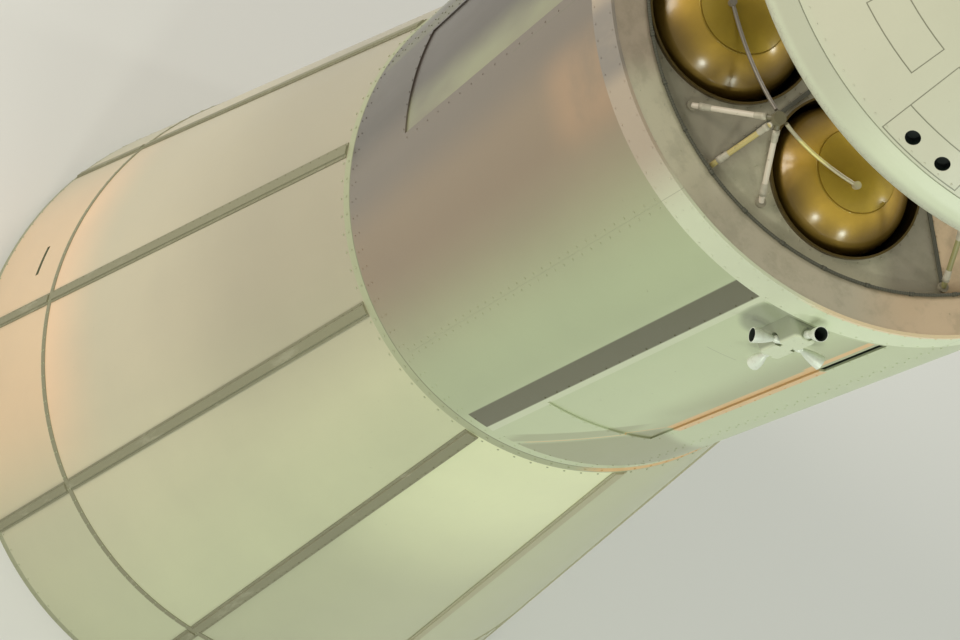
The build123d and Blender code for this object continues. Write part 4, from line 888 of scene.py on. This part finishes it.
def cabin_paint():
    """Matt grey-green of the cabin's floor, roof and instrument panel."""
    paint = Finish("cabin_grey")
    grey_green = (0.26, 0.28, 0.27)
    rubbed = (0.38, 0.39, 0.37)
    wear = paint.cloud(12.0, 6.0, 0.65).above(0.58, 0.15)
    colour = paint.blend(wear * 0.3, grey_green, rubbed)
    return paint.done(**worn_paint(paint, colour, 0.60, 0.05, grain=0.0005))


def couch_fabric():
    """Woven grey-tan cloth of the couch pads."""
    cloth = Finish("couch_fabric")
    tan_grey = (0.30, 0.275, 0.225)
    faded_tan = (0.43, 0.40, 0.335)
    threads = []
    for heading in ("X", "Y", "Z"):
        bands = {"bands_direction": heading}
        thread = cloth.node("ShaderNodeTexWave", bands, cloth.place, Scale=260.0, Distortion=0.6, out="Fac")
        threads.append(thread)
    weave = threads[0] * threads[1] + 0.5 * threads[2]
    faded = cloth.cloud(5.0, 4.0)
    return cloth.done(
        Base_Color=cloth.blend(faded, tan_grey, faded_tan) * (0.86 + 0.22 * weave),
        Roughness=0.86 + 0.08 * faded,
        Sheen_Weight=0.25,
        Sheen_Roughness=0.5,
        Normal=cloth.relief(weave + 2.0 * cloth.cloud(14.0, 3.0), 0.0007),
    )


def sleeve_metal():
    """Plated end sleeves of the struts, dulled unevenly."""
    metal = Finish("sleeve_metal")
    plated = (0.40, 0.365, 0.275)
    pale = (0.52, 0.475, 0.365)
    dull = metal.cloud(35.0, 4.0)
    return metal.done(
        Base_Color=metal.blend(dull, plated, pale),
        Metallic=0.3,
        Roughness=0.52 + 0.22 * dull,
        Normal=metal.relief(dull, 0.0003),
    )


def dial_faces():
    """Black dial faces with a fine grain."""
    paint = Finish("dial_black")
    speck = paint.cloud(300.0, 2.0)
    colour = paint.blend(speck, (0.012, 0.013, 0.012), (0.028, 0.030, 0.028))
    return paint.done(Base_Color=colour, Roughness=0.35 + 0.2 * speck, Normal=paint.relief(speck, 0.0001))


# Fittings

def add_piece(name, body, slot, material, vertices, polygons, smooth=True):
    """A mesh that rides on a body, with its material; the slot argument is not used."""
    mesh = bpy.data.meshes.new(name)
    mesh.from_pydata([tuple(vertex) for vertex in vertices], [], polygons)
    mesh.materials.append(material)
    mesh.polygons.foreach_set("use_smooth", [smooth] * len(mesh.polygons))
    piece = bpy.data.objects.new(name, mesh)
    bpy.context.scene.collection.objects.link(piece)
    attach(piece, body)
    return piece


def joined(forms):
    """Points and faces of several forms in one."""
    vertices = []
    polygons = []
    for points, faces in forms:
        start = len(vertices)
        vertices.extend(points)
        polygons.extend(tuple(start + corner for corner in face) for face in faces)
    return vertices, polygons


def join_copies(name, body, slot, material, form, places):
    """One mesh of many copies of a small form, one at each place."""
    points, faces = form
    copies = [([place @ Vector(point) for point in points], faces) for place in places]
    add_piece(name, body, slot, material, *joined(copies))


def turned(profile, steps, closed=False):
    """Points and faces of a profile of (radius, height) turned round the upright axis."""
    points = []
    faces = []
    count = len(profile)
    for step in range(steps):
        turn = 2 * pi * step / steps
        points.extend((radius * cos(turn), radius * sin(turn), height) for radius, height in profile)
        here = step * count
        there = (step + 1) % steps * count
        for number in range(count if closed else count - 1):
            after = (number + 1) % count
            faces.append((here + number, there + number, there + after, here + after))
    return points, faces


# Screws: radius and height of the domed head, and its lift off the surface
COVER_SCREW = (0.0075, 0.004)
RING_SCREW = (0.009, 0.005)
WALL_SCREW = (0.0065, 0.0035)
DECK_SCREW = (0.006, 0.0035)
CAPSULE_SCREW = (0.005, 0.0028)
SCREW_LIFT = 0.0003
SCREW_SIDES = 8


def screw_head(radius, height):
    """Domed head of a screw, its rim on the surface."""
    points, faces = turned(((radius, 0.0), (radius, 0.45 * height), (0.62 * radius, height)), SCREW_SIDES)
    faces.append(tuple(3 * side + 2 for side in range(SCREW_SIDES)))
    return points, faces


def adapter_screws(cover, ring):
    """Screws along both edges of each seam cover, and round the rings and the split band."""
    edge = COVER_W / 2 - 0.012
    lift = COVER_BASE_T + 0.0004
    pitch = 0.15
    lengths = (
        (AFT_RING_TOP + 0.06, SPLIT_Z - SPLIT_BAND_H / 2 - 0.05),
        (SPLIT_Z + SPLIT_BAND_H / 2 + 0.05, FORWARD_RING_Z - 0.05),
    )
    covers = []
    for azimuth in evenly(FIRST_SEAM, FIRST_SEAM + 360 - GORE_ANGLE, GORE_COUNT):
        for low, high in lengths:
            for height in evenly(low, high, int((high - low) / pitch) + 1):
                covers += [on_adapter(azimuth, height, lift, across) for across in (-edge, edge)]
    head = screw_head(*COVER_SCREW)
    join_copies("adapter_cover_screws", "service_stack", "seam_cover", cover, head, covers)
    # Rows round the adapter: height, number of screws, lift
    rows = (
        (0.045, 120, 0.0),
        (AFT_RING_TOP + 0.035, 120, 0.0),
        (SPLIT_Z - 0.026, 150, lift),
        (SPLIT_Z + 0.026, 150, lift),
        (FORWARD_RING_Z - 0.035, 90, 0.0),
        (FORWARD_RING_Z + 0.045, 90, 0.0),
    )
    rings = []
    for height, count, raised in rows:
        for azimuth in all_round(count):
            past_seam = (azimuth - FIRST_SEAM) % GORE_ANGLE
            off_seam = min(past_seam, GORE_ANGLE - past_seam) * radians(1) * adapter_r(height)
            if raised or off_seam > COVER_W / 2 + 0.01:
                rings.append(on_adapter(azimuth, height, raised + SCREW_LIFT))
    join_copies("adapter_ring_screws", "service_stack", "ring_paint", ring, screw_head(*RING_SCREW), rings)


def module_screws(paint, rim):
    """Screws down each bay joint, round the base ring and rim band, and round each cluster's panel."""
    head = screw_head(*WALL_SCREW)
    band_heights = (BAND_Z + 0.03, RIM_Z - 0.03)
    band = [on_wall(azimuth, height) for height in band_heights for azimuth in all_round(120)]
    join_copies("rim_screws", "service_stack", "rim_white", rim, head, band)
    off_joint = degrees(0.028 / MODULE_R)
    pitch = 0.14
    panel_sides = (-11.2, 15.4)
    joint_heights = evenly(BASE_TOP + 0.06, BAND_Z - 0.06, int((BAND_Z - BASE_TOP) / pitch))
    panel_heights = evenly(CLUSTER_BOTTOM + 0.05, CLUSTER_TOP - 0.05, 16)
    panel_foot = CLUSTER_BOTTOM - 0.03
    places = []
    for beam in BEAMS:
        for azimuth in (beam - off_joint, beam + off_joint):
            places += [on_wall(azimuth, height) for height in joint_heights]
    for height in (ADAPTER_TOP + 0.055, BASE_TOP + 0.035):
        places += [on_wall(azimuth, height) for azimuth in all_round(96)]
    for cluster in CLUSTERS:
        for side in panel_sides:
            places += [on_wall(cluster + side, height) for height in panel_heights]
        places += [on_wall(azimuth, panel_foot) for azimuth in evenly(cluster - 9, cluster + 13, 9)]
    join_copies("module_screws", "service_stack", "bay_paint", paint, head, places)


def near_tank(spot):
    """Whether a place on the deck lies by a tank's opening."""
    return any((spot - on_circle(tank[1], tank[0])).length < tank[2] + 0.07 for tank in TANKS)


def deck_screws(paint):
    """Screws round the deck's edge, along the beam caps and round the tank lips."""
    row_start = 0.45
    row_end = 1.50
    off_beam = 0.026
    spots = [on_circle(DECK_EDGE_R - 0.012, azimuth) for azimuth in all_round(110, 0)]
    for beam in BEAMS:
        for side in (-off_beam, off_beam):
            across = on_circle(side, beam + 90)
            row = [on_circle(far, beam) + across for far in evenly(row_start, row_end, 12)]
            spots += [spot for spot in row if not near_tank(spot)]
    for turn, far, radius, crown in TANKS:
        centre = on_circle(far, turn)
        ring = [centre + on_circle(radius + TANK_GAP + 0.032, azimuth) for azimuth in all_round(40, 0)]
        spots += [spot for spot in ring if spot.length < DECK_EDGE_R - 0.02]
    places = [standing(spot + Vector((0, 0, DECK_Z + SCREW_LIFT)), (0, 0, 1), (1, 0, 0)) for spot in spots]
    join_copies("deck_screws", "service_stack", "deck_grey", paint, screw_head(*DECK_SCREW), places)


def rounded_point(along, width, height, corner):
    """Point at a distance along a rounded rectangle, from the middle of its right side."""
    half_w = width / 2 - corner
    half_h = height / 2 - corner
    sides = (2 * half_h, 2 * half_w, 2 * half_h, 2 * half_w)
    centres = ((half_w, half_h), (-half_w, half_h), (-half_w, -half_h), (half_w, -half_h))
    arc = pi / 2 * corner
    along = (along + half_h) % (sum(sides) + 4 * arc)
    for number, (side, (x, y)) in enumerate(zip(sides, centres)):
        if along < side + arc:
            back = max(side - along, 0.0)
            turn = pi / 2 * number + max(along - side, 0.0) / corner
            return x + corner * cos(turn) + back * sin(turn), y + corner * sin(turn) - back * cos(turn)
        along -= side + arc


def capsule_outline(azimuth, up, width, height, corner, count):
    """Places on the capsule's cone, evenly along a rounded rectangle round a point of it."""
    length = 2 * (width + height) + (2 * pi - 8) * corner
    places = []
    for number in range(count):
        x, y = rounded_point(length * number / count, width, height, corner)
        level = up + y * cos(CONE)
        places.append(on_cone(azimuth + degrees(x / capsule_r(level)), level, 0.0005))
    return places


def clear_of_hinge(places):
    """The places on the cone that don't lie under the hatch's two hinge arms."""
    to_hatch = on_cone(HATCH_AZ, HATCH_UP).inverted()
    kept = []
    for place in places:
        spot = to_hatch @ place.translation
        by_arm = min(abs(spot.y - arm) for arm in HINGE_ARMS) < HINGE_ARM_REACH
        if spot.x >= HINGE_SIDE or not by_arm:
            kept.append(place)
    return kept


def capsule_screws(paint):
    """Screws round the hatch opening, the windows, the shield's edge and the apex cover's foot."""
    off_edge = 0.035
    opening_w = HATCH_W + 2 * off_edge
    opening_h = HATCH_H + 2 * off_edge
    wall = clear_of_hinge(capsule_outline(HATCH_AZ, HATCH_UP, opening_w, opening_h, corner=0.14, count=64))
    for turn, up, width, height in WINDOWS:
        wall += capsule_outline(HATCH_AZ + turn, up, width + 0.05, height + 0.05, corner=0.08, count=24)
    cover_up = ROOF_Z - EDGE_Z
    for up, count in ((EDGE_UP + off_edge, 132), (cover_up - 0.03, 60), (cover_up + 0.04, 60)):
        wall += [on_cone(azimuth, up, SCREW_LIFT) for azimuth in all_round(count)]
    join_copies("capsule_screws", "capsule", "capsule_white", paint, screw_head(*CAPSULE_SCREW), wall)
    hatch_w = HATCH_W - 2 * off_edge
    hatch_h = HATCH_H - 2 * off_edge
    hatch = clear_of_hinge(capsule_outline(HATCH_AZ, HATCH_UP, hatch_w, hatch_h, corner=0.10, count=56))
    hatch += capsule_outline(HATCH_AZ, HATCH_UP, 0.30, 0.30, corner=0.08, count=24)
    join_copies("hatch_screws", "hatch", "capsule_white", paint, screw_head(*CAPSULE_SCREW), hatch)


def strut_sleeves(metal):
    """Threaded end sleeves with a lock nut, on both ends of every capsule strut."""
    foot_gap = 0.045
    apex_gap = 0.070
    places = []
    for number, beam in enumerate(BEAMS):
        apex = on_circle(APEX_R, beam, APEX_Z)
        feet = [on_circle(FOOT_R, beam, DECK_Z)]
        if number % 2 == 0:
            feet += [on_circle(SIDE_FOOT_R, beam + side * SIDE_FOOT_TURN, DECK_Z) for side in (-1, 1)]
        for foot in feet:
            start = foot + Vector((0, 0, STRUT_R))
            heading = (apex - start).normalized()
            across = heading.cross(Vector((0, 0, 1))).normalized()
            places.append(standing(start + heading * foot_gap, heading, across))
            places.append(standing(apex - heading * apex_gap, -heading, across))
    profile = (
        (STRUT_R, 0.0),
        (STRUT_R + 0.006, 0.0),
        (STRUT_R + 0.006, 0.030),
        (STRUT_R + 0.0035, 0.033),
        (STRUT_R + 0.0035, 0.068),
        (STRUT_R + 0.0005, 0.078),
    )
    join_copies("strut_sleeves", "service_stack", "strut_white", metal, turned(profile, 20), places)


def dome_beads(metal):
    """Weld bead round each dome at its cap's edge."""
    bead_r = 0.004
    lift = 0.005
    for number, (azimuth, far, radius, crown) in enumerate(TANKS):
        ring_r = radius * CAP_SHARE
        ring_z = DOME_TOP - crown + sqrt(crown ** 2 - ring_r ** 2)
        slope = ring_r / crown
        bead = []
        for bend in evenly(0, pi, 7):
            bead.append((ring_r + lift - bead_r * cos(bend), ring_z + bead_r * sin(bend) - lift * slope))
        points, faces = turned(bead, 96)
        points = [on_circle(far, azimuth) + Vector(point) for point in points]
        add_piece(f"dome_bead_{number + 1}", "service_stack", "tank_gold", metal, points, faces)


def arc_through(first, middle, last, steps):
    """Points from first to last on the circle through three points."""
    ax, ay = first
    bx, by = middle
    cx, cy = last
    a = ax * ax + ay * ay
    b = bx * bx + by * by
    c = cx * cx + cy * cy
    scale = 2 * (ax * (by - cy) + bx * (cy - ay) + cx * (ay - by))
    x = (a * (by - cy) + b * (cy - ay) + c * (ay - by)) / scale
    y = (a * (cx - bx) + b * (ax - cx) + c * (bx - ax)) / scale
    radius = hypot(ax - x, ay - y)
    start = atan2(ay - y, ax - x)
    span = (atan2(cy - y, cx - x) - start + pi) % (2 * pi) - pi
    turns = evenly(start, start + span, steps + 1)
    return [(x + radius * cos(turn), y + radius * sin(turn)) for turn in turns]


def nozzle_liners(soot):
    """Sooted inner wall of each thruster nozzle, a hair inside the metal."""
    exit_r = 0.046
    throat_r = 0.016
    throat_at = 0.060
    length = 0.200
    wall = 0.0044
    bulge = 0.006
    base_lift = 0.050
    side_root = 0.040
    end_root = 0.236
    start = (throat_r - wall, throat_at + 0.001)
    middle = ((throat_r + exit_r) / 2 + bulge - wall, (throat_at + length) / 2)
    end = (exit_r - wall, length - 0.0006)
    points, faces = turned([(0.0002, start[1])] + arc_through(start, middle, end, 10), 32)
    facing_in = [tuple(reversed(face)) for face in faces]
    places = []
    for cluster in CLUSTERS:
        outward = outward_at(cluster)
        sideways = along_turn(cluster)
        up = Vector((0, 0, 1))
        base = on_circle(MODULE_R + base_lift, cluster, CLUSTER_Z)
        roots = ((sideways, side_root), (up, end_root), (-sideways, side_root), (-up, end_root))
        for direction, root in roots:
            heading = direction * cos(NOZZLE_TILT) + outward * sin(NOZZLE_TILT)
            places.append(standing(base + direction * root, heading, heading.cross(outward)))
    join_copies("nozzle_liners", "service_stack", "bell_metal", soot, (points, facing_in), places)


def bell_hoops(metal):
    """Stiffening hoops round the engine bell."""
    gimbal_z = ADAPTER_TOP - 0.330
    throat_r = 0.160
    throat_z = gimbal_z - 0.560
    bulge = 0.190
    middle = ((throat_r + BELL_EXIT_R) / 2 + bulge, (throat_z + BELL_EXIT_Z) / 2 + bulge)
    wall = arc_through((throat_r, throat_z), middle, (BELL_EXIT_R, BELL_EXIT_Z + 0.016), 40)
    hoops = []
    for radius, height in wall[8::6]:
        root = radius - 0.004
        crest = radius + 0.016
        section = ((root, -0.022), (crest, -0.018), (crest, 0.018), (root, 0.022))
        hoops.append(turned([(reach, height + rise) for reach, rise in section], 96))
    add_piece("bell_hoops", "bell", "bell_metal", metal, *joined(hoops), smooth=False)


def harness_clips(metal):
    """Small clips that hold the harness to the ledge."""
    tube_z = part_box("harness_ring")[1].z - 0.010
    places = []
    for azimuth in all_round(36):
        place = on_circle(DECK_EDGE_R + 0.010, azimuth, tube_z)
        places.append(standing(place, along_turn(azimuth), outward_at(azimuth)))
    section = ((0.0102, -0.014), (0.0135, -0.014), (0.0135, 0.014), (0.0102, 0.014))
    clip = turned(section, 16, closed=True)
    join_copies("harness_clips", "service_stack", "pipe_metal", metal, clip, places)


# Cabin fittings

COUCH_LINE = ((0.720, 0.420), (-0.150, 0.420), (-0.330, 0.850), (-0.720, 0.700))
COUCH_COUNT = 3
COUCH_PITCH = 0.590
COUCH_W = 0.520
COUCH_T = 0.060
PAN_RIM = 0.020
PAN_EDGE = 0.004
PAN_CORNER = 0.010
PAN_T = 0.0022
PAD_T = 0.038
PAD_ROLL = 0.030
PAD_CHANNEL = 0.120
PAD_STEP = 0.010
PAD_END_GAP = 0.018
PAD_SIDE_GAP = 0.024


def couch_place(across):
    """Matrix of one couch: x towards the hatch, y across, z up, at the capsule's axis and widest edge."""
    return standing(on_circle(across, HATCH_AZ + 90, EDGE_Z), (0, 0, 1), on_circle(1, HATCH_AZ))


def couch_offset(lift):
    """The couches' bent line moved towards the crew's side, its joints kept."""
    moved = []
    for index, (x, z) in enumerate(COUCH_LINE):
        before = COUCH_LINE[max(index - 1, 0)]
        after = COUCH_LINE[min(index + 1, len(COUCH_LINE) - 1)]
        run = hypot(after[0] - before[0], after[1] - before[1])
        moved.append((x + lift * (after[1] - before[1]) / run, z - lift * (after[0] - before[0]) / run))
    return moved


def couch_pans(metal):
    """Thin bent pan with turned-up side edges under each couch's pads."""
    half = COUCH_W / 2
    right = ((half - PAN_CORNER, 0.0), (half, PAN_EDGE), (half, PAN_RIM))
    section = [(-y, lift) for y, lift in reversed(right)] + list(right)
    rows = [couch_offset(lift - COUCH_T / 2 + 0.003) for y, lift in section]
    wide = len(section)
    faces = []
    for bend in range(len(COUCH_LINE) - 1):
        for step in range(wide - 1):
            here = bend * wide + step
            faces.append((here, here + 1, here + wide + 1, here + wide))
    pans = []
    for across in centred(COUCH_PITCH, COUCH_COUNT):
        place = couch_place(across)
        points = [
            place @ Vector((row[bend][0], y, row[bend][1]))
            for bend in range(len(COUCH_LINE))
            for row, (y, lift) in zip(rows, section)
        ]
        pans.append((points, faces))
    piece = add_piece("couch_pans", "capsule", "bare_structure", metal, *joined(pans), smooth=False)
    thicken = piece.modifiers.new("thickness", "SOLIDIFY")
    thicken.thickness = PAN_T
    edge = piece.modifiers.new("edge", "BEVEL")
    edge.width = 0.004
    edge.segments = 3


def pad_height(x, y, length, width):
    """Thickness of a stuffed pad at a point: crowned, thin at its piped edge, drawn in at its channels."""
    edge = min(length / 2 - abs(x), width / 2 - abs(y))
    roll = sqrt(max(0.0, 1 - (1 - min(edge / PAD_ROLL, 1.0)) ** 2))
    crown = 1 + 0.28 * cos(pi * x / length) * cos(pi * y / width)
    pitch = length / max(2, round(length / PAD_CHANNEL))
    steps = (x + length / 2) / pitch
    off_channel = abs(steps - round(steps)) * pitch
    inside = min(edge / (2 * PAD_ROLL), 1.0)
    drawn = 1 - 0.42 * inside * exp(-(off_channel / 0.012) ** 2)
    return PAD_T * roll * crown * drawn


def couch_pad(name, place, length, width, cloth):
    """A crowned pad with sewn channels, its sides drawn in between its corners."""
    columns = ceil(length / PAD_STEP)
    rows = ceil(width / PAD_STEP)
    vertices = []
    for side in (1, -0.12):
        for y in evenly(-width / 2, width / 2, rows + 1):
            for x in evenly(-length / 2, length / 2, columns + 1):
                drawn_x = x * (1 - 0.018 * cos(pi * y / width))
                drawn_y = y * (1 - 0.022 * cos(pi * x / length))
                vertices.append(place @ Vector((drawn_x, drawn_y, side * pad_height(x, y, length, width))))
    layer = (rows + 1) * (columns + 1)
    polygons = []
    for row in range(rows):
        for column in range(columns):
            here = row * (columns + 1) + column
            quad = (here, here + 1, here + columns + 2, here + columns + 1)
            polygons.append(quad)
            polygons.append(tuple(layer + corner for corner in reversed(quad)))
    pad = add_piece(name, "capsule", "couch_fabric", cloth, vertices, polygons)
    weld = pad.modifiers.new("seam", "WELD")
    weld.merge_threshold = 0.0002
    smooth = pad.modifiers.new("stuffing", "SUBSURF")
    smooth.levels = 1
    smooth.render_levels = 1
    return pad


def couches(cloth, metal):
    """Three couches: pans with a back, a seat and a leg pad each, in place of the plain solids."""
    couch_pans(metal)
    line = couch_offset(-COUCH_T / 2 + 0.012)
    for number, across in enumerate(centred(COUCH_PITCH, COUCH_COUNT)):
        for part, first, last in zip(("back", "seat", "leg"), line, line[1:]):
            run = Vector((last[0] - first[0], 0, last[1] - first[1]))
            along = run.normalized()
            middle = Vector(((first[0] + last[0]) / 2, 0, (first[1] + last[1]) / 2))
            place = couch_place(across) @ standing(middle, (along.z, 0, -along.x), along)
            name = f"couch_{part}_pad_{number + 1}"
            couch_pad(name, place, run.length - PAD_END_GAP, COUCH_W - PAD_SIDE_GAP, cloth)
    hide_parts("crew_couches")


# Instrument panel: rows of dials by place and radius, rows of toggles by place
DIAL_ROWS = ((-0.115, 0.042), (-0.005, 0.050))
DIAL_R = 0.050
DIAL_PITCH = 0.135
DIAL_COLUMNS = 8
TOGGLE_ROWS = (0.085, 0.135, 0.180)
TOGGLE_PITCH = 0.045
TOGGLE_COLUMNS = 24
BEZEL = ((0.043, 0.0), (0.051, 0.0), (0.051, 0.006), (0.046, 0.009), (0.043, 0.006))
DIAL_FACE = ((0.0, 0.0018), (0.043, 0.0018))
TOGGLE = ((0.009, 0.0), (0.009, 0.003), (0.004, 0.005), (0.0028, 0.020), (0.0044, 0.026), (0.0, 0.028))


def instruments(dial, metal):
    """Round dials in bezels and rows of toggles on the underside of the instrument panel."""
    panel = standing((0, 0, PANEL_FACE_Z), (0, 0, -1), on_circle(1, HATCH_AZ))
    dials = []
    for across in centred(DIAL_PITCH, DIAL_COLUMNS):
        for row, radius in DIAL_ROWS:
            dials.append(panel @ Matrix.Translation((row, across, 0)) @ Matrix.Scale(radius / DIAL_R, 4))
    toggles = []
    for across in centred(TOGGLE_PITCH, TOGGLE_COLUMNS):
        toggles += [panel @ Matrix.Translation((row, across, 0)) for row in TOGGLE_ROWS]
    join_copies("dial_bezels", "capsule", "bare_structure", metal, turned(BEZEL, 32, closed=True), dials)
    join_copies("dial_faces", "capsule", "cabin_grey", dial, turned(DIAL_FACE, 32), dials)
    join_copies("panel_toggles", "capsule", "bare_structure", metal, turned(TOGGLE, 10), toggles)


# Floor, light and view

VIEW_FROM = (9.1461, 0.0, 26.0281)
VIEW_RIGHT = (-0.769, 0.5283, 0.3529)
VIEW_UP = (-0.4855, -0.846, 0.2085)
LENS_MM = 96.1
FLOOR_REACH = 140.0
WORLD_STRENGTH = 0.42

# Lamps: name, place, target, size, watts, colour
LAMPS = (
    ("key_lamp", (14.0, -22.0, 22.0), (0, 0, 6.0), 12.0, 3900, (1.0, 0.945, 0.86)),
    ("fill_lamp", (17.0, 19.0, 15.0), (0, 0, 10.0), 12.0, 1500, (0.90, 1.0, 0.90)),
    ("high_hall_lamp", (18.4, 10.0, 28.0), (0, 0, 12.0), 2.6, 900, (0.95, 1.0, 0.90)),
    ("side_hall_lamp", (7.6, 22.4, 24.0), (0, 0, 12.0), 2.6, 900, (0.93, 1.0, 0.88)),
    ("far_hall_lamp", (-14.5, 17.0, 25.0), (0, 0, 12.0), 2.2, 600, (0.96, 1.0, 0.92)),
    ("rear_lamp", (-22.0, -6.0, 20.0), (0, 0, 9.0), 10.0, 1500, (1.0, 0.98, 0.94)),
    ("low_lamp", (8.0, -26.0, 9.0), (0, 0, 4.0), 9.0, 900, (1.0, 0.93, 0.84)),
)


def floor_paint():
    """Plain pale floor with a faint cloud."""
    paint = Finish("floor_pale")
    cloud = paint.cloud(0.15, 3.0)
    colour = paint.blend(cloud, (0.70, 0.695, 0.66), (0.74, 0.735, 0.70))
    return paint.done(Base_Color=colour, Roughness=0.85 + 0.05 * cloud, Normal=paint.relief(cloud, 0.0005))


def stand_on_floor():
    """The floor under the adapter."""
    reach = FLOOR_REACH
    corners = [(-reach, -reach, 0), (reach, -reach, 0), (reach, reach, 0), (-reach, reach, 0)]
    mesh = bpy.data.meshes.new("floor")
    mesh.from_pydata(corners, [], [(0, 1, 2, 3)])
    mesh.materials.append(floor_paint())
    floor = bpy.data.objects.new("floor", mesh)
    bpy.context.scene.collection.objects.link(floor)


def add_lamp(name, place, target, size, watts, colour):
    """A round soft lamp aimed at a point."""
    lamp = bpy.data.lights.new(name, "AREA")
    lamp.shape = "DISK"
    lamp.size = size
    lamp.energy = watts
    lamp.color = colour
    holder = bpy.data.objects.new(name, lamp)
    bpy.context.scene.collection.objects.link(holder)
    direction = Vector(target) - Vector(place)
    holder.matrix_world = Matrix.Translation(place) @ direction.to_track_quat("-Z", "Y").to_matrix().to_4x4()


def light_room():
    """Soft lamps and an even pale sky."""
    for lamp in LAMPS:
        add_lamp(*lamp)
    world = bpy.data.worlds.new("studio")
    bpy.context.scene.world = world
    world.use_nodes = True
    sky = world.node_tree.nodes["Background"]
    sky.inputs["Color"].default_value = (0.97, 0.99, 0.96, 1.0)
    sky.inputs["Strength"].default_value = WORLD_STRENGTH


def set_view():
    """The photograph's viewing angle."""
    lens = bpy.data.cameras.new("view")
    lens.sensor_width = 36.0
    lens.lens = LENS_MM
    lens.clip_end = 400.0
    view = bpy.data.objects.new("view", lens)
    bpy.context.scene.collection.objects.link(view)
    right = Vector(VIEW_RIGHT).normalized()
    up = (Vector(VIEW_UP) - right * right.dot(Vector(VIEW_UP))).normalized()
    turn = Matrix((right, up, right.cross(up))).transposed().to_4x4()
    view.matrix_world = Matrix.Translation(VIEW_FROM) @ turn
    bpy.context.scene.camera = view


def finish_vehicle():
    """A finish for every node of the frame, and the fittings that share those finishes."""
    metal = bare_metal()
    adapter = adapter_paint()
    cover = cover_paint()
    ring = ring_paint()
    bay = bay_paint()
    deck = deck_paint()
    rim = rim_paint()
    strip = strip_paint()
    dome = tank_gold("tank_gold", GOLD, GOLD_BROWNED)
    cap = tank_gold("tank_gold_cap", CAP_GOLD, CAP_BROWNED)
    lip = tank_gold("tank_gold_lip", LIP_GOLD, LIP_BROWNED)
    glass = window_glass()
    cabin = cabin_paint()
    capsule = capsule_paint()
    finishes = {
        "adapter_aft_ring": ring, "adapter_forward_ring": ring,
        "adapter_aft_skin": adapter, "adapter_forward_skin": adapter,
        "adapter_split_band": cover, "adapter_seam_covers": cover,
        "module_base_ring": bay, "bay_panel": bay, "thruster_panels": bay, "rim_band": rim,
        "thruster_housing": housing_paint(), "thruster_nozzles": nozzle_white(),
        "aft_deck": metal, "forward_deck": deck, "beam_caps": strip, "harness_ring": strip,
        "fuel_tank": dome, "oxidiser_tank": dome,
        "tank_lips": lip, "tank_caps": cap, "tank_pipes": pipe_metal(),
        "engine_mount": metal, "gimbal_ring": metal, "engine_bell": bell_metal(),
        "heat_shield": shield_paint(), "apex_cover": cover_cream(),
        "cabin_shell": capsule, "side_hatch": capsule,
        "hatch_hinge": metal, "hatch_pane": glass, "window_panes": glass,
        "docking_tunnel": metal, "tunnel_hatch": cabin, "cabin_floor": cabin, "cabin_roof": cabin,
        "instrument_panel": cabin, "couch_frame": metal,
    }
    for number, beam in enumerate(BEAMS):
        finishes[f"strut_set_{number + 1}"] = strut_paint(beam)
    for name, node in NODES.items():
        kind = name.removesuffix("_near").removesuffix("_far").rstrip("_123456")
        if name != "crew_couches":
            node.material_slots[0].material = finishes.get(name) or finishes[kind]
    adapter_screws(cover, ring)
    module_screws(bay, rim)
    deck_screws(deck)
    capsule_screws(capsule)
    strut_sleeves(sleeve_metal())
    dome_beads(cap)
    nozzle_liners(liner_soot())
    bell_hoops(metal)
    harness_clips(strip)
    couches(couch_fabric(), metal)
    instruments(dial_faces(), metal)


finish_vehicle()
stand_on_floor()
light_room()
set_view()

scene = bpy.context.scene
scene.view_settings.view_transform = "Standard"
